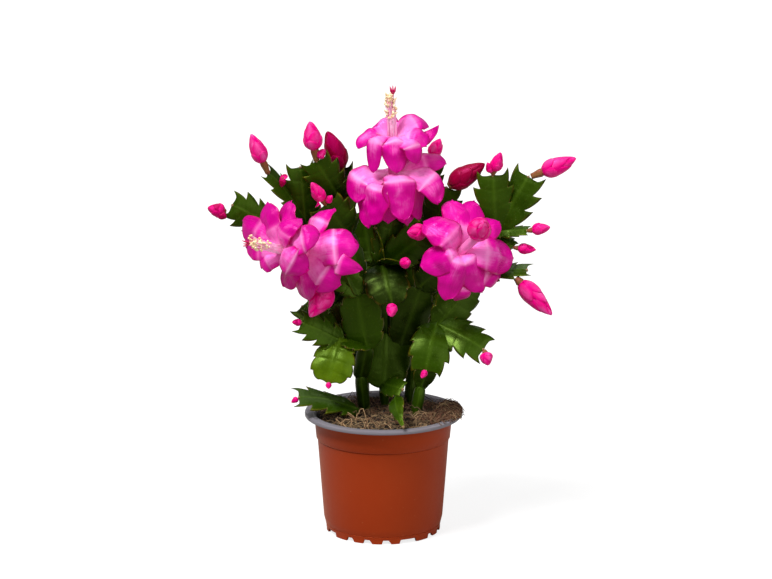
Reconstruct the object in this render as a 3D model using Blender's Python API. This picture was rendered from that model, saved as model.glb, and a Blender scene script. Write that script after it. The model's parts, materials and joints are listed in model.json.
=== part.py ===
"""Potted christmas cactus in flower.

A thin plastic pot holds a body of soil. Seven rooted plants stand in plain holes in it, each a tree of
flat toothed segments. Three blooms and the flower buds sit on the areoles at the segment tips.
Lengths are millimetres, +X is right, -Y is the front and +Z is up. It is all laid out about the pot's axis,
and at the end moved so that the origin is the middle of the part's bounds, on the ground.
"""

import math
import random
from dataclasses import dataclass
from functools import partial

import bmesh
import bpy
from mathutils import Matrix, Vector
from mathutils.bvhtree import BVHTree

MM = 0.001
FRONT = (0, -1, 0)
UP = (0, 0, 1)
# Where the middle of the part's bounds lies, seen from above
MIDDLE = (5.5, 18.05)
SHARP_DEGREES = 32

# Pot
POT_HEIGHT = 81.5
RIM_RADIUS = 52.5
MOUTH_RADIUS = 45.2
FOOT_RADIUS = 38.4
COLLAR_BOTTOM = 63.4
FLOOR_TOP = 4.6
POT_SIDES = 44
NOTCH_HEIGHT = 2.6
NOTCH_ANGLES = (0, 29, 48, 67)
NOTCH_SPANS = (18, 8, 8, 8)
FIRST_NOTCH = 26
DRAIN_RADIUS = 4.0
DRAIN_CIRCLE = 24.0
DRAIN_COUNT = 5

# Soil
SOIL_GAP = 0.4
SOIL_EDGE_Z = 78.6
SOIL_CROWN_Z = 80.0
HOLE_BOTTOM_Z = 71.5
ROOT_BOTTOM_Z = 72.0
ROOT_TOP_Z = 83.0
ROOT_CLEARANCE = 0.5
THREAD_COUNT = 12

# Plants
EDGE_THICKNESS = 1.0
RIB_THICKNESS = 2.4
NECK_SINK = 2.4
SEAT_GAP = 0.4
PLANT_KEEP = 0.57
PETAL_KEEP = 0.58
STAMEN_KEEP = 0.7
SOLID_KEEP = 0.72
WELD = 0.003

# Blooms
PETAL_THICKNESS = 0.9
TUBE_RADIUS = 3.4


@dataclass(frozen=True)
class Segment:
    """One flat segment. Its start is its parent's tip unless a start of its own is given."""

    name: str
    parent: str
    tip: tuple
    width: float
    facing: tuple = FRONT
    arch: float = 0.05
    start: tuple = None


@dataclass(frozen=True)
class Plant:
    """One rooted plant: where its root stands, how thick it is and what grows from it."""

    name: str
    root: tuple
    radius: float
    segments: tuple


@dataclass(frozen=True)
class Bud:
    """A bud on a segment's areole, with the tiny buds of its cluster."""

    name: str
    plant: str
    segment: str
    tip: tuple
    width: float
    neck: float = 0.0
    shift: tuple = (0, 0, 0)
    cluster: tuple = ()


@dataclass(frozen=True)
class Petal:
    """A petal: its angle about the flower tube, how far out and how high its tip is, and its width."""

    angle: float
    reach: float
    height: float
    width: float
    lift: float = 3.0


@dataclass(frozen=True)
class Bloom:
    """A bloom on a segment's tip, with its tiers of petals at heights along its own axis."""

    name: str
    plant: str
    segment: str
    axis: tuple
    outer_height: float
    outer: tuple
    inner_height: float = 0.0
    inner: tuple = ()
    style_length: float = 0.0
    closed_length: float = 0.0


LEFT_PLANT = Plant(
    "left_plant",
    (-13, 10),
    4.4,
    (
        Segment("stem_low", "root", (-15, 5, 105), 10),
        Segment("stem_high", "stem_low", (-11, -5, 127), 13),
        Segment("middle", "stem_high", (-17, -9, 164), 30, (-0.2, -1, 0.2)),
        Segment("shelf", "stem_high", (-29, -7, 131), 22, (0, -0.3, 1)),
        Segment("hanging", "shelf", (-36, -21, 106), 29, (-0.1, -1, 0.5), 0.12),
        Segment("outer_front", "shelf", (-54, -13, 145), 22, (0.2, -1, 0.5)),
        Segment("outer_back", "shelf", (-54, 8, 151), 22, (0.3, -1, 0.3)),
        Segment("back_low", "stem_high", (-33, 15, 153), 25, (0.2, -1, 0.1)),
        Segment("bloom_holder", "middle", (-36, -4, 187), 22, (0.2, -1, -0.1)),
        Segment("back_mid", "back_low", (-19, 16, 182), 22, (0.6, -1, 0)),
        Segment("bud_holder", "middle", (-32, -9, 173), 13, (0, -1, 0.6)),
        Segment("trunk", "middle", (-24, 13, 199), 22, (0.9, -1, 0.2)),
        Segment("heart", "trunk", (-38, 3, 221), 31, (0.1, -1, 0.1)),
        Segment("reach", "trunk", (-52, 22, 205), 24, (0, -1, 0.6)),
        Segment("crown_left", "reach", (-55, 20, 243), 24, (0.2, -1, 0)),
        Segment("arm", "reach", (-72, 20, 202), 15, (0, -1, 0.5)),
        Segment("wing", "arm", (-100, 12, 219), 25, (0.1, -1, 0.2)),
        Segment("edge_on", "reach", (-76, 12, 240), 20, (0.9, -0.5, 0.3)),
        Segment("crown_stalk", "trunk", (-30, 18, 224), 20, (0.4, -1, 0)),
        Segment("crown_mid", "crown_stalk", (-44, 9, 249), 27, (0, -1, -0.1)),
        Segment("crown_right", "trunk", (-27, 32, 240), 23, (-0.7, -1, 0)),
    ),
)

CENTRE_PLANT = Plant(
    "centre_plant",
    (1, 16),
    2.4,
    (
        Segment("stem", "root", (0, 9, 97), 7),
        Segment("foot_leaf", "stem", (13, -8, 98), 16, (0.2, -1, 0.4)),
        Segment("broad", "stem", (2, 16, 133), 37),
        Segment("trunk", "broad", (0, 8, 178), 27, (0.2, -1, 0)),
        Segment("right_leaf", "trunk", (29, -4, 205), 26, (0.3, -1, 0.1)),
        Segment("shelf", "trunk", (13, -17, 186), 19, (0.2, 0.4, 1)),
        Segment("hanging", "trunk", (6, -22, 159), 30, (0, -1, 0.2), 0.2),
        Segment("pale_edge", "trunk", (-5, 0, 206), 15, (1, 0.2, 0)),
        Segment("bloom_holder", "trunk", (6, 7, 213), 24, (0.2, -1, 0)),
        Segment("right_low", "broad", (25, 8, 165), 27, (0.1, -1, 0.1), 0.05, (12, 14, 124)),
        Segment("right_mid", "right_low", (45, -2, 185), 24, (0.3, -1, 0.4)),
        Segment("back_rise", "right_low", (34, 24, 200), 24, (0.4, -1, 0)),
        Segment("back_right", "back_rise", (42, 17, 230), 27, (-0.2, -1, 0)),
        Segment("back_left", "back_rise", (33, 38, 223), 20, (0.3, -1, 0)),
        Segment("back_top", "back_left", (32, 32, 247), 18, (-0.2, -1, 0)),
    ),
)

RIGHT_PLANT = Plant(
    "right_plant",
    (22, -2),
    3.9,
    (
        Segment("stem_low", "root", (25, 0, 98), 9),
        Segment("stem_high", "stem_low", (36, 0, 140), 18, (0.2, -1, 0)),
        Segment("hanging", "stem_high", (28, -24, 115), 28, (-0.1, -1, 0.5), 0.16),
        Segment("low_right", "stem_high", (66, -18, 128), 27, (0.2, -1, 0.6), 0.1),
        Segment("rise", "stem_high", (59, 8, 168), 26, (0.1, -1, 0)),
        Segment("trunk", "rise", (74, 10, 199), 24, (-0.2, -1, 0)),
        Segment("crown_left", "trunk", (72, 6, 240), 27, (0.1, -1, 0)),
        Segment("crown_right", "trunk", (96, 12, 238), 29, (-0.3, -1, 0)),
        Segment("side_high", "trunk", (95, 0, 204), 12, (0, -0.6, 1)),
        Segment("side_low", "trunk", (86, 4, 192), 12, (0, -1, 0.8)),
        Segment("side_edge", "rise", (95, -2, 178), 20, (0.1, -0.4, 1)),
    ),
)

LOW_PLANT = Plant(
    "low_plant",
    (-19, -6),
    2.6,
    (
        Segment("leaf", "root", (-56, -14, 94), 27, (0.1, -0.42, 1), 0.07),
    ),
)

FRONT_PLANT = Plant(
    "front_plant",
    (9, -18),
    2.2,
    (
        Segment("stem", "root", (9, -21, 94), 7),
        Segment("leaf", "stem", (13, -52, 84.5), 13, (-0.5, -0.3, 1), 0.13),
    ),
)

BACK_LEFT_PLANT = Plant(
    "back_left_plant",
    (-13, 29),
    3.6,
    (
        Segment("stem", "root", (-14, 32, 106), 9),
        Segment("trunk", "stem", (-20, 40, 141), 26, (0, 1, 0)),
        Segment("low_left", "stem", (-38, 44, 112), 24, (-0.2, 1, 0.6), 0.1),
        Segment("left", "trunk", (-38, 54, 168), 27, (-0.3, 1, 0.2)),
        Segment("right", "trunk", (-8, 56, 171), 27, (0.3, 1, 0.2)),
        Segment("hanging_left", "left", (-44, 78, 147), 25, (-0.4, 1, 0.5), 0.14),
        Segment("rising_left", "left", (-44, 60, 200), 25, (0, 1, 0)),
        Segment("hanging_right", "right", (-6, 82, 152), 27, (0.1, 1, 0.5), 0.15),
        Segment("rising_right", "right", (-14, 66, 204), 25, (-0.2, 1, 0)),
    ),
)

BACK_RIGHT_PLANT = Plant(
    "back_right_plant",
    (18, 25),
    3.4,
    (
        Segment("stem", "root", (20, 29, 107), 9),
        Segment("trunk", "stem", (27, 40, 141), 25, (0.2, 1, 0)),
        Segment("low_right", "stem", (44, 40, 118), 23, (0.3, 1, 0.6), 0.1),
        Segment("left", "trunk", (18, 54, 170), 26, (0, 1, 0.2)),
        Segment("right", "trunk", (50, 52, 166), 27, (0.3, 1, 0.2)),
        Segment("hanging_right", "right", (52, 78, 147), 26, (0.2, 1, 0.5), 0.14),
        Segment("rising_right", "right", (60, 54, 194), 24, (0.2, 1, 0)),
        Segment("rising_left", "left", (24, 62, 203), 24, (0, 1, 0)),
    ),
)

PLANTS = (LEFT_PLANT, CENTRE_PLANT, RIGHT_PLANT, LOW_PLANT, FRONT_PLANT, BACK_LEFT_PLANT, BACK_RIGHT_PLANT)

TOP_BLOOM = Bloom(
    "top_bloom",
    "centre_plant",
    "bloom_holder",
    (0, -0.05, 1),
    25,
    (
        Petal(85, 28, -14, 21),
        Petal(22, 22, -31, 24, 5),
        Petal(-32, 21, -22, 20, 5),
        Petal(-75, 34, -13, 21, 5),
        Petal(-108, 37, 8, 16, 5),
        Petal(-142, 21, -30, 16, 5),
        Petal(126, 21, -27, 15, 5),
        Petal(172, 30, -14, 17),
    ),
    52,
    (
        Petal(-23, 16, -20, 16, 5),
        Petal(48, 16, -20, 11, 5),
        Petal(98, 22, -8, 13, 5),
        Petal(145, 20, 1, 15, 5),
        Petal(-170, 20, -2, 15, 5),
        Petal(-112, 26, 5, 17, 5),
        Petal(-82, 21, -1, 14, 6),
        Petal(-52, 24, -13, 15, 4),
    ),
    style_length=34,
)

LEFT_BLOOM = Bloom(
    "left_bloom",
    "left_plant",
    "bloom_holder",
    (-0.75, -0.6, 0.26),
    17,
    (
        Petal(5, 31, -15, 17),
        Petal(58, 33, -17, 23),
        Petal(88, 34, -19, 13),
        Petal(112, 25, -11, 20),
        Petal(-176, 28, -8, 20),
        Petal(-138, 30, -1, 19),
        Petal(-60, 26, -9, 16),
    ),
    38,
    (
        Petal(-62, 35, 10, 16),
        Petal(-28, 31, 2, 15),
        Petal(-6, 30, -6, 14),
        Petal(24, 24, -8, 16),
        Petal(58, 26, -9, 15),
        Petal(106, 22, -9, 16),
        Petal(-140, 20, 3, 15),
        Petal(-100, 25, 5, 14),
    ),
    style_length=31,
)

RIGHT_BLOOM = Bloom(
    "right_bloom",
    "centre_plant",
    "right_mid",
    (0.25, -0.87, 0.42),
    20,
    (
        Petal(-4, 32, 3, 17),
        Petal(27, 34, 4, 16),
        Petal(56, 31, 1, 16),
        Petal(92, 36, -1, 16),
        Petal(122, 31, -3, 16),
        Petal(164, 31, 0, 18),
        Petal(-153, 33, 0, 18),
        Petal(-98, 27, 0, 16),
        Petal(-42, 31, 0, 20),
    ),
    closed_length=61,
)

BLOOMS = (TOP_BLOOM, LEFT_BLOOM, RIGHT_BLOOM)

# Tiny buds beside a large one as (shift of the foot, tip, width), both counted from the large bud's foot
LEFT_SMALL = (((0.2, -1, -0.6), (-4, -5, -3.5), 5.5),)
MID_SMALL = (((1.0, -0.6, 0.9), (6, -2.5, 7.5), 5.5),)
SIDE_SMALL = (((0, -0.5, -0.5), (-1.5, -3, -6.5), 4.4),)
RIGHT_SMALL = (((-0.6, -1.2, 0.4), (-6.5, -5, 5), 5.5),)
HEART_SMALL = (((0.8, -0.4, 0.6), (5, -2, 6), 4.6),)
HIGH_SMALL = (((-0.8, 0, 0.4), (-4, -2, 8), 5),)

BUDS = (
    Bud("bud_far_left", "left_plant", "wing", (-116, 7, 218), 8.7, 0.1, (0, -2.5, -5), LEFT_SMALL),
    Bud("bud_left_high", "left_plant", "edge_on", (-87, 9, 267), 10, 0.3),
    Bud("bud_crown_mid", "left_plant", "crown_mid", (-48, 5, 276), 11.4, 0.3, (0, -0.6, 0), MID_SMALL),
    Bud("bud_crown_side", "left_plant", "crown_left", (-66, 14, 238), 5, 0, (-10, -2.5, -9), SIDE_SMALL),
    Bud("bud_crown_right", "left_plant", "crown_right", (-37, 20, 267), 13.4, 0.08, (0, -1.5, 0), RIGHT_SMALL),
    Bud("bud_heart", "left_plant", "heart", (-47, -4, 237), 8, 0.22, (0, -0.5, 0), HEART_SMALL),
    Bud("bud_outer_front", "left_plant", "outer_front", (-60, -16, 146), 4.4),
    Bud("bud_hot_pink", "left_plant", "bud_holder", (-48, -22, 151), 14, 0.1, (-1, -2, -1)),
    Bud("bud_hanging_left", "left_plant", "hanging", (-36, -25, 103), 3.6),
    Bud("bud_shelf", "centre_plant", "shelf", (17, -24, 188), 6.6),
    Bud("bud_centre_hanging", "centre_plant", "hanging", (5, -30, 153), 6.8),
    Bud("bud_right_leaf", "centre_plant", "right_leaf", (16, -18, 206), 10, 0.1, (-1, -1.5, 0)),
    Bud("bud_back_right", "centre_plant", "back_right", (67, 11, 247), 13.4, 0.06, (1, -2, 1)),
    Bud("bud_back_top", "centre_plant", "back_top", (38, 28, 261), 8.6, 0.1),
    Bud("bud_low_hanging", "right_plant", "hanging", (25, -28, 111), 4),
    Bud("bud_low_right", "right_plant", "low_right", (69, -25, 119), 8, 0.2, (0.5, -0.5, 0)),
    Bud("bud_crown_high", "right_plant", "crown_left", (77, 2, 256), 7.6, 0.2, (0, 0, 0), HIGH_SMALL),
    Bud("bud_far_right", "right_plant", "crown_right", (127, 8, 251), 11.4, 0.26, (0.5, -1.2, 0)),
    Bud("bud_side_high", "right_plant", "side_high", (110, -2, 207), 7.4, 0.2),
    Bud("bud_side_low", "right_plant", "side_low", (101, 1, 191), 6.7, 0.2),
    Bud("bud_side_edge", "right_plant", "side_edge", (111, -13, 150), 12, 0.14, (-9, -2, -3)),
    Bud("bud_low_leaf", "low_plant", "leaf", (-61, -15, 91), 3.6),
    Bud("bud_back_1", "back_left_plant", "rising_left", (-50, 64, 217), 8, 0.2),
    Bud("bud_back_2", "back_left_plant", "hanging_left", (-45, 84, 131), 9, 0.1),
    Bud("bud_back_3", "back_left_plant", "hanging_right", (-6, 90, 134), 11, 0.12),
    Bud("bud_back_4", "back_right_plant", "rising_left", (28, 68, 219), 8, 0.2),
    Bud("bud_back_5", "back_right_plant", "hanging_right", (54, 88, 130), 10, 0.1),
    Bud("bud_back_6", "back_right_plant", "rising_right", (68, 58, 209), 7, 0.2),
)

# One edge of a segment from neck to tip as (share of length, share of width). Teeth stand out past these.
EDGE = ((0.0, 0.10), (0.11, 0.25), (0.33, 0.42), (0.62, 0.44), (0.92, 0.37), (1.01, 0.19))
# Teeth as (edge point they follow, share of length, share of width)
TEETH = ((1, 0.28, 0.44), (2, 0.55, 0.50), (3, 0.81, 0.49), (4, 1.08, 0.37))
RIB = (0.0, 0.32, 0.66, 1.0)


def colour(name, rgb, roughness):
    """A plain material of one colour."""
    material = bpy.data.materials.new(name)
    material.use_nodes = True
    shader = material.node_tree.nodes["Principled BSDF"]
    shader.inputs["Base Color"].default_value = (*rgb, 1)
    shader.inputs["Roughness"].default_value = roughness
    shader.inputs["Metallic"].default_value = 0
    return material


def solid(name, points, faces):
    """A closed object from points in millimetres, with its faces turned outwards."""
    mesh = bpy.data.meshes.new(name)
    mesh.from_pydata([Vector(p) * MM for p in points], [], faces)
    cage = bmesh.new()
    cage.from_mesh(mesh)
    bmesh.ops.recalc_face_normals(cage, faces=cage.faces)
    if cage.calc_volume(signed=True) < 0:
        bmesh.ops.reverse_faces(cage, faces=cage.faces)
    bmesh.ops.triangulate(cage, faces=cage.faces)
    cage.to_mesh(mesh)
    cage.free()
    made = bpy.data.objects.new(name, mesh)
    bpy.context.scene.collection.objects.link(made)
    return made


def largest_body(mesh):
    """Weld a mesh's slivers and keep its largest body, in triangles. Returns whether it is closed."""
    cage = bmesh.new()
    cage.from_mesh(mesh)
    bmesh.ops.remove_doubles(cage, verts=cage.verts, dist=WELD * MM)
    bmesh.ops.triangulate(cage, faces=cage.faces)
    bodies = []
    left = set(cage.verts)
    while left:
        body = [left.pop()]
        for vertex in body:
            linked = {edge.other_vert(vertex) for edge in vertex.link_edges} & left
            left -= linked
            body += linked
        bodies.append(body)
    bodies.sort(key=len)
    scraps = [vertex for body in bodies[:-1] for vertex in body]
    bmesh.ops.delete(cage, geom=scraps, context="VERTS")
    closed = all(edge.is_manifold for edge in cage.edges)
    cage.to_mesh(mesh)
    cage.free()
    return closed


def combine(made, others, operation, material, keep=1.0):
    """Fuse other objects into this one, or cut them from it, and remove them.

    Keep is the share of triangles that stays. It rises until thinning leaves the body closed.
    """
    group = bpy.data.collections.new("others")
    bpy.context.scene.collection.children.link(group)
    for other in others:
        bpy.context.scene.collection.objects.unlink(other)
        group.objects.link(other)
    change = made.modifiers.new(operation, "BOOLEAN")
    change.operation = operation
    change.operand_type = "COLLECTION"
    change.collection = group
    thin = made.modifiers.new("thin", "DECIMATE")
    closed = False
    while not closed:
        thin.ratio = keep
        graph = bpy.context.evaluated_depsgraph_get()
        mesh = bpy.data.meshes.new_from_object(made.evaluated_get(graph))
        closed = largest_body(mesh) or keep > 0.99
        keep = min(keep + 0.02, 1.0)
    made.modifiers.clear()
    made.data = mesh
    mesh.materials.clear()
    mesh.materials.append(material)
    for other in list(group.objects):
        bpy.data.objects.remove(other)
    bpy.data.collections.remove(group)
    return made


def fuse(name, pieces, material, keep=1.0):
    """Fuse several closed objects into one body."""
    first = pieces[0]
    first.name = name
    if len(pieces) > 1:
        return combine(first, pieces[1:], "UNION", material, keep)
    first.data.materials.append(material)
    return first


def ring(radius, z, count, turn=0.0):
    """Points of a level ring, counted from the front towards the right."""
    angles = [math.radians(turn + 360 * k / count) for k in range(count)]
    return [(radius * math.sin(a), -radius * math.cos(a), z) for a in angles]


def skin(rings, first_pole=None, last_pole=None):
    """Points and faces of a closed skin over rings of equal count, with a pole or a flat cap at each end."""
    count = len(rings[0])
    points = [p for row in rings for p in row]
    faces = []
    for row in range(len(rings) - 1):
        low = row * count
        for k in range(count):
            after = (k + 1) % count
            faces.append((low + k, low + after, low + count + after, low + count + k))
    last = (len(rings) - 1) * count
    if first_pole is None:
        faces.append(tuple(range(count - 1, -1, -1)))
    else:
        points.append(first_pole)
        faces += [((k + 1) % count, k, len(points) - 1) for k in range(count)]
    if last_pole is None:
        faces.append(tuple(range(last, last + count)))
    else:
        points.append(last_pole)
        faces += [(last + k, last + (k + 1) % count, len(points) - 1) for k in range(count)]
    return points, faces


def across(axis, wanted):
    """The part of a direction that lies square to an axis, as a unit vector."""
    wanted = Vector(wanted)
    flat = wanted - axis * wanted.dot(axis)
    return flat.normalized()


def tube(name, path, widths, sides=6, flat=1.0, facing=FRONT):
    """A stem, thread or filament along a path. Flat is its thickness as a share of its width."""
    path = [Vector(p) for p in path]
    rings = []
    for index, centre in enumerate(path):
        before = path[max(index - 1, 0)]
        after = path[min(index + 1, len(path) - 1)]
        axis = (after - before).normalized()
        normal = across(axis, facing)
        side = axis.cross(normal)
        half = widths[index] / 2
        angles = [2 * math.pi * (k + 0.5) / sides for k in range(sides)]
        rings.append([centre + (side * math.cos(a) + normal * flat * math.sin(a)) * half for a in angles])
    points, faces = skin(rings)
    return solid(name, points, faces)


def strip(edge, rib, edge_shares):
    """Triangles between one edge of a segment and its midrib."""
    faces = []
    i = 0
    j = 0
    while i < len(edge) - 1 or j < len(rib) - 1:
        if j == len(rib) - 1 or (i < len(edge) - 1 and edge_shares[i + 1] <= RIB[j + 1]):
            faces.append((edge[i], edge[i + 1], rib[j]))
            i += 1
        else:
            faces.append((edge[i], rib[j + 1], rib[j]))
            j += 1
    return faces


def segment_solid(segment, start, key):
    """One flat toothed segment: two faces of like triangles, thicker at the midrib, joined round the edge."""
    chance = random.Random(key)
    start = Vector(start)
    along = Vector(segment.tip) - start
    axis = along.normalized()
    start = start - axis * NECK_SINK
    length = (Vector(segment.tip) - start).length
    normal = across(axis, segment.facing)
    side = axis.cross(normal)
    cup = chance.uniform(0.02, 0.07) * segment.width
    twist = chance.uniform(-0.06, 0.06) * segment.width
    arch = segment.arch * length

    def place(u, v, out):
        swell = math.sin(math.pi * min(max(u, 0), 1))
        lift = arch * 4 * u * (1 - u) + swell * (twist * 2 * v - cup * (2 * v) ** 2)
        return start + axis * (u * length) + side * (v * segment.width) + normal * (lift + out)

    flat = []
    outs = []
    chains = []
    ears = []
    for hand in (-1, 1):
        shares = []
        for index, (u, v) in enumerate(EDGE):
            wobble = chance.uniform(-0.015, 0.015) if 1 < index < 5 else 0
            shares.append((u + wobble, hand * max(v + wobble, 2.0 / segment.width)))
        chain = list(range(len(flat), len(flat) + len(shares)))
        flat += shares
        outs += [EDGE_THICKNESS * (1.6 if k < 2 else 1.0) / 2 for k in range(len(shares))]
        teeth = {}
        for after, u, v in TEETH:
            u += chance.uniform(-0.02, 0.02)
            v += chance.uniform(-0.03, 0.01)
            teeth[after] = len(flat)
            flat.append((u, hand * v))
            outs.append(EDGE_THICKNESS / 2)
        chains.append(chain)
        ears.append(teeth)
    rib = list(range(len(flat), len(flat) + len(RIB)))
    flat += [(u, 0) for u in RIB]
    outs += [RIB_THICKNESS / 2] * (len(RIB) - 1) + [RIB_THICKNESS * 0.4]

    count = len(flat)
    points = [place(u, v, out) for (u, v), out in zip(flat, outs)]
    points += [place(u, v, -out) for (u, v), out in zip(flat, outs)]
    sheet = []
    rim = []
    for chain, teeth in zip(chains, ears):
        sheet += strip(chain, rib, [u for u, v in EDGE])
        outline = []
        for index, corner in enumerate(chain):
            outline.append(corner)
            if index in teeth:
                sheet.append((corner, teeth[index], chain[index + 1]))
                outline.append(teeth[index])
        rim.append(outline)
    loop = rim[0] + [rib[-1]] + rim[1][::-1] + [rib[0]]
    faces = list(sheet)
    faces += [tuple(count + corner for corner in face[::-1]) for face in sheet]
    for here, after in zip(loop, loop[1:] + loop[:1]):
        faces.append((here, after, count + after))
        faces.append((here, count + after, count + here))
    return solid(segment.name, points, faces)


def grow(plant, material, areoles):
    """One rooted plant, all its segments fused. Records where each segment's areole is."""
    x, y = plant.root
    pieces = [tube("root", [(x, y, ROOT_BOTTOM_Z), (x, y, ROOT_TOP_Z)], [plant.radius * 2] * 2, 8)]
    tips = {"root": (x, y, ROOT_TOP_Z)}
    for segment in plant.segments:
        start = segment.start or tips[segment.parent]
        key = f"{plant.name} {segment.name}"
        pieces.append(segment_solid(segment, start, key))
        tips[segment.name] = segment.tip
        areoles[plant.name, segment.name] = Vector(segment.tip)
    return fuse(plant.name, pieces, material, PLANT_KEEP)


def settle(make, foot, direction, plant):
    """Make an object at the first place along a direction where it clears its plant. Returns that place."""
    for step in range(60):
        start = foot + direction * (SEAT_GAP + 0.15 * step)
        made = make(start)
        if is_clear(made, plant):
            return start
        bpy.data.objects.remove(made)
    raise ValueError(f"no place beside {plant.name}")


def bud_solid(name, start, tip, width, neck, large=True):
    """A pointed bud. Two tiers of tepal tips stand out as steps over the ones inside them."""
    start = Vector(start)
    tip = Vector(tip)
    length = (tip - start).length
    axis = (tip - start).normalized()
    normal = across(axis, FRONT if abs(axis.y) < 0.9 else UP)
    side = axis.cross(normal)
    sides = 8 if large else 6

    def ring_at(share, radius, zigzag=0.0, phase=0):
        row = []
        for k in range(sides):
            angle = 2 * math.pi * k / sides
            height = share + (zigzag if (k + phase) % 2 else -zigzag)
            out = side * math.cos(angle) + normal * math.sin(angle)
            row.append(start + axis * (height * length) + out * (radius * width))
        return row

    body = 1 - neck
    foot = max(0.16, 1.1 / width)
    rings = [ring_at(0, foot)]
    if neck:
        rings.append(ring_at(neck, 0.24))
    if large:
        rings.append(ring_at(neck + body * 0.24, 0.44, body * 0.06))
        rings.append(ring_at(neck + body * 0.245, 0.40, body * 0.06))
        rings.append(ring_at(neck + body * 0.52, 0.50, body * 0.07, 1))
        rings.append(ring_at(neck + body * 0.525, 0.45, body * 0.07, 1))
        rings.append(ring_at(neck + body * 0.82, 0.32))
    else:
        rings.append(ring_at(neck + body * 0.42, 0.50, body * 0.08))
        rings.append(ring_at(neck + body * 0.43, 0.43, body * 0.08))
        rings.append(ring_at(neck + body * 0.80, 0.27))
    points, faces = skin(rings, None, tip)
    return solid(name, points, faces)


def tree_of(made):
    """A search tree over an object's faces."""
    cage = bmesh.new()
    cage.from_mesh(made.data)
    tree = BVHTree.FromBMesh(cage)
    cage.free()
    return tree


def is_clear(made, plant):
    """Whether an object keeps its seat gap to its plant."""
    mine = tree_of(made)
    theirs = tree_of(plant)
    if mine.overlap(theirs):
        return False
    gaps = [theirs.find_nearest(vertex.co)[3] for vertex in made.data.vertices]
    near = (mine.find_nearest(vertex.co, 0.004)[3] for vertex in plant.data.vertices)
    gaps += [gap for gap in near if gap is not None]
    return min(gaps) >= SEAT_GAP * MM


def add_bud(bud, material, areoles):
    """A bud that stands just clear of its areole, with any tiny buds of its cluster fused to its foot."""
    areole = areoles[bud.plant, bud.segment] + Vector(bud.shift)

    def make(start):
        pieces = [bud_solid(bud.name, start, bud.tip, bud.width, bud.neck, bud.width > 7.5)]
        for shift, small_tip, width in bud.cluster:
            foot = start + Vector(shift)
            pieces.append(bud_solid("small", foot, start + Vector(small_tip), width, 0, False))
        return fuse(bud.name, pieces, material)

    settle(make, areole, (Vector(bud.tip) - areole).normalized(), bpy.data.objects[bud.plant])


def petal_solid(petal, frame, height, layer):
    """A petal that rises from the flower tube, turns over and hangs to its tip. Layers lie over each other."""
    origin, axis, up, side = frame
    angle = math.radians(petal.angle)
    out = up * math.cos(angle) + side * math.sin(angle)
    breadth = axis.cross(out)
    root = (TUBE_RADIUS * 0.45, -3.0 + 1.6 * layer)
    bend = (petal.reach * 0.62 + 1.5, petal.lift + 1.5 * layer + max(petal.height, 0) * 0.6)
    end = (petal.reach, petal.height)
    shares = (0.0, 0.28, 0.52, 0.76, 0.94)
    widths = (0.14, 0.36, 0.52, 0.52, 0.33)
    half = PETAL_THICKNESS / 2

    def centre(t):
        r = (1 - t) ** 2 * root[0] + 2 * t * (1 - t) * bend[0] + t * t * end[0]
        h = (1 - t) ** 2 * root[1] + 2 * t * (1 - t) * bend[1] + t * t * end[1]
        return origin + axis * (height + h) + out * r

    def facing(t):
        tangent = centre(min(t + 0.02, 1.0)) - centre(max(t - 0.02, 0.0))
        return breadth.cross(tangent).normalized()

    top = []
    under = []
    for t, width in zip(shares, widths):
        middle = centre(t)
        normal = facing(t)
        dip = petal.width * 0.13 * math.sin(math.pi * t)
        for hand in (-1, 0, 1):
            point = middle + breadth * (hand * width * petal.width) - normal * (dip if hand else 0)
            top.append(point + normal * half)
            under.append(point - normal * half)
    top.append(centre(1.0) + facing(1.0) * half)
    under.append(centre(1.0) - facing(1.0) * half)
    count = len(top)
    rows = len(shares)
    sheet = []
    for row in range(rows - 1):
        low = row * 3
        sheet += [(low, low + 1, low + 4), (low, low + 4, low + 3)]
        sheet += [(low + 1, low + 2, low + 4), (low + 2, low + 5, low + 4)]
    last = (rows - 1) * 3
    sheet += [(last, last + 1, count - 1), (last + 1, last + 2, count - 1)]
    loop = [row * 3 for row in range(rows)] + [count - 1]
    loop += [row * 3 + 2 for row in reversed(range(rows))] + [1]
    faces = list(sheet)
    faces += [tuple(count + corner for corner in face[::-1]) for face in sheet]
    for here, after in zip(loop, loop[1:] + loop[:1]):
        faces.append((here, after, count + after))
        faces.append((here, count + after, count + here))
    return solid("petal", top + under, faces)


def flower_frame(bloom, origin):
    """The bloom's start, its axis and two directions square to it."""
    axis = Vector(bloom.axis).normalized()
    up = across(axis, UP if abs(axis.z) < 0.9 else FRONT)
    side = up.cross(axis)
    return origin, axis, up, side


def lathe_on(frame, name, profile, sides=8):
    """A turned body along the bloom's axis from (height, radius) pairs."""
    origin, axis, up, side = frame
    angles = [2 * math.pi * k / sides for k in range(sides)]
    outs = [up * math.cos(a) + side * math.sin(a) for a in angles]
    rings = [[origin + axis * height + out * radius for out in outs] for height, radius in profile]
    points, faces = skin(rings)
    return solid(name, points, faces)


def petals_at(bloom, material, start):
    """The flower tube with its tiers of petals, fused."""
    frame = flower_frame(bloom, start)
    origin, axis, up, side = frame
    top = bloom.inner_height or bloom.closed_length - 20
    profile = [(0, 1.6), (3, 2.6), (8, 2.7), (bloom.outer_height - 4, TUBE_RADIUS), (top, TUBE_RADIUS)]
    pieces = [lathe_on(frame, "tube", profile)]
    for index, petal in enumerate(bloom.outer):
        pieces.append(petal_solid(petal, frame, bloom.outer_height, index % 2))
    for index, petal in enumerate(bloom.inner):
        pieces.append(petal_solid(petal, frame, bloom.inner_height, index % 2))
    if bloom.closed_length:
        start = origin + axis * (bloom.closed_length - 22)
        closed = bud_solid("closed", start, origin + axis * bloom.closed_length, 15, 0.1)
        pieces.append(closed)
    return fuse(f"{bloom.name}_petals", pieces, material, PETAL_KEEP)


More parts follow.
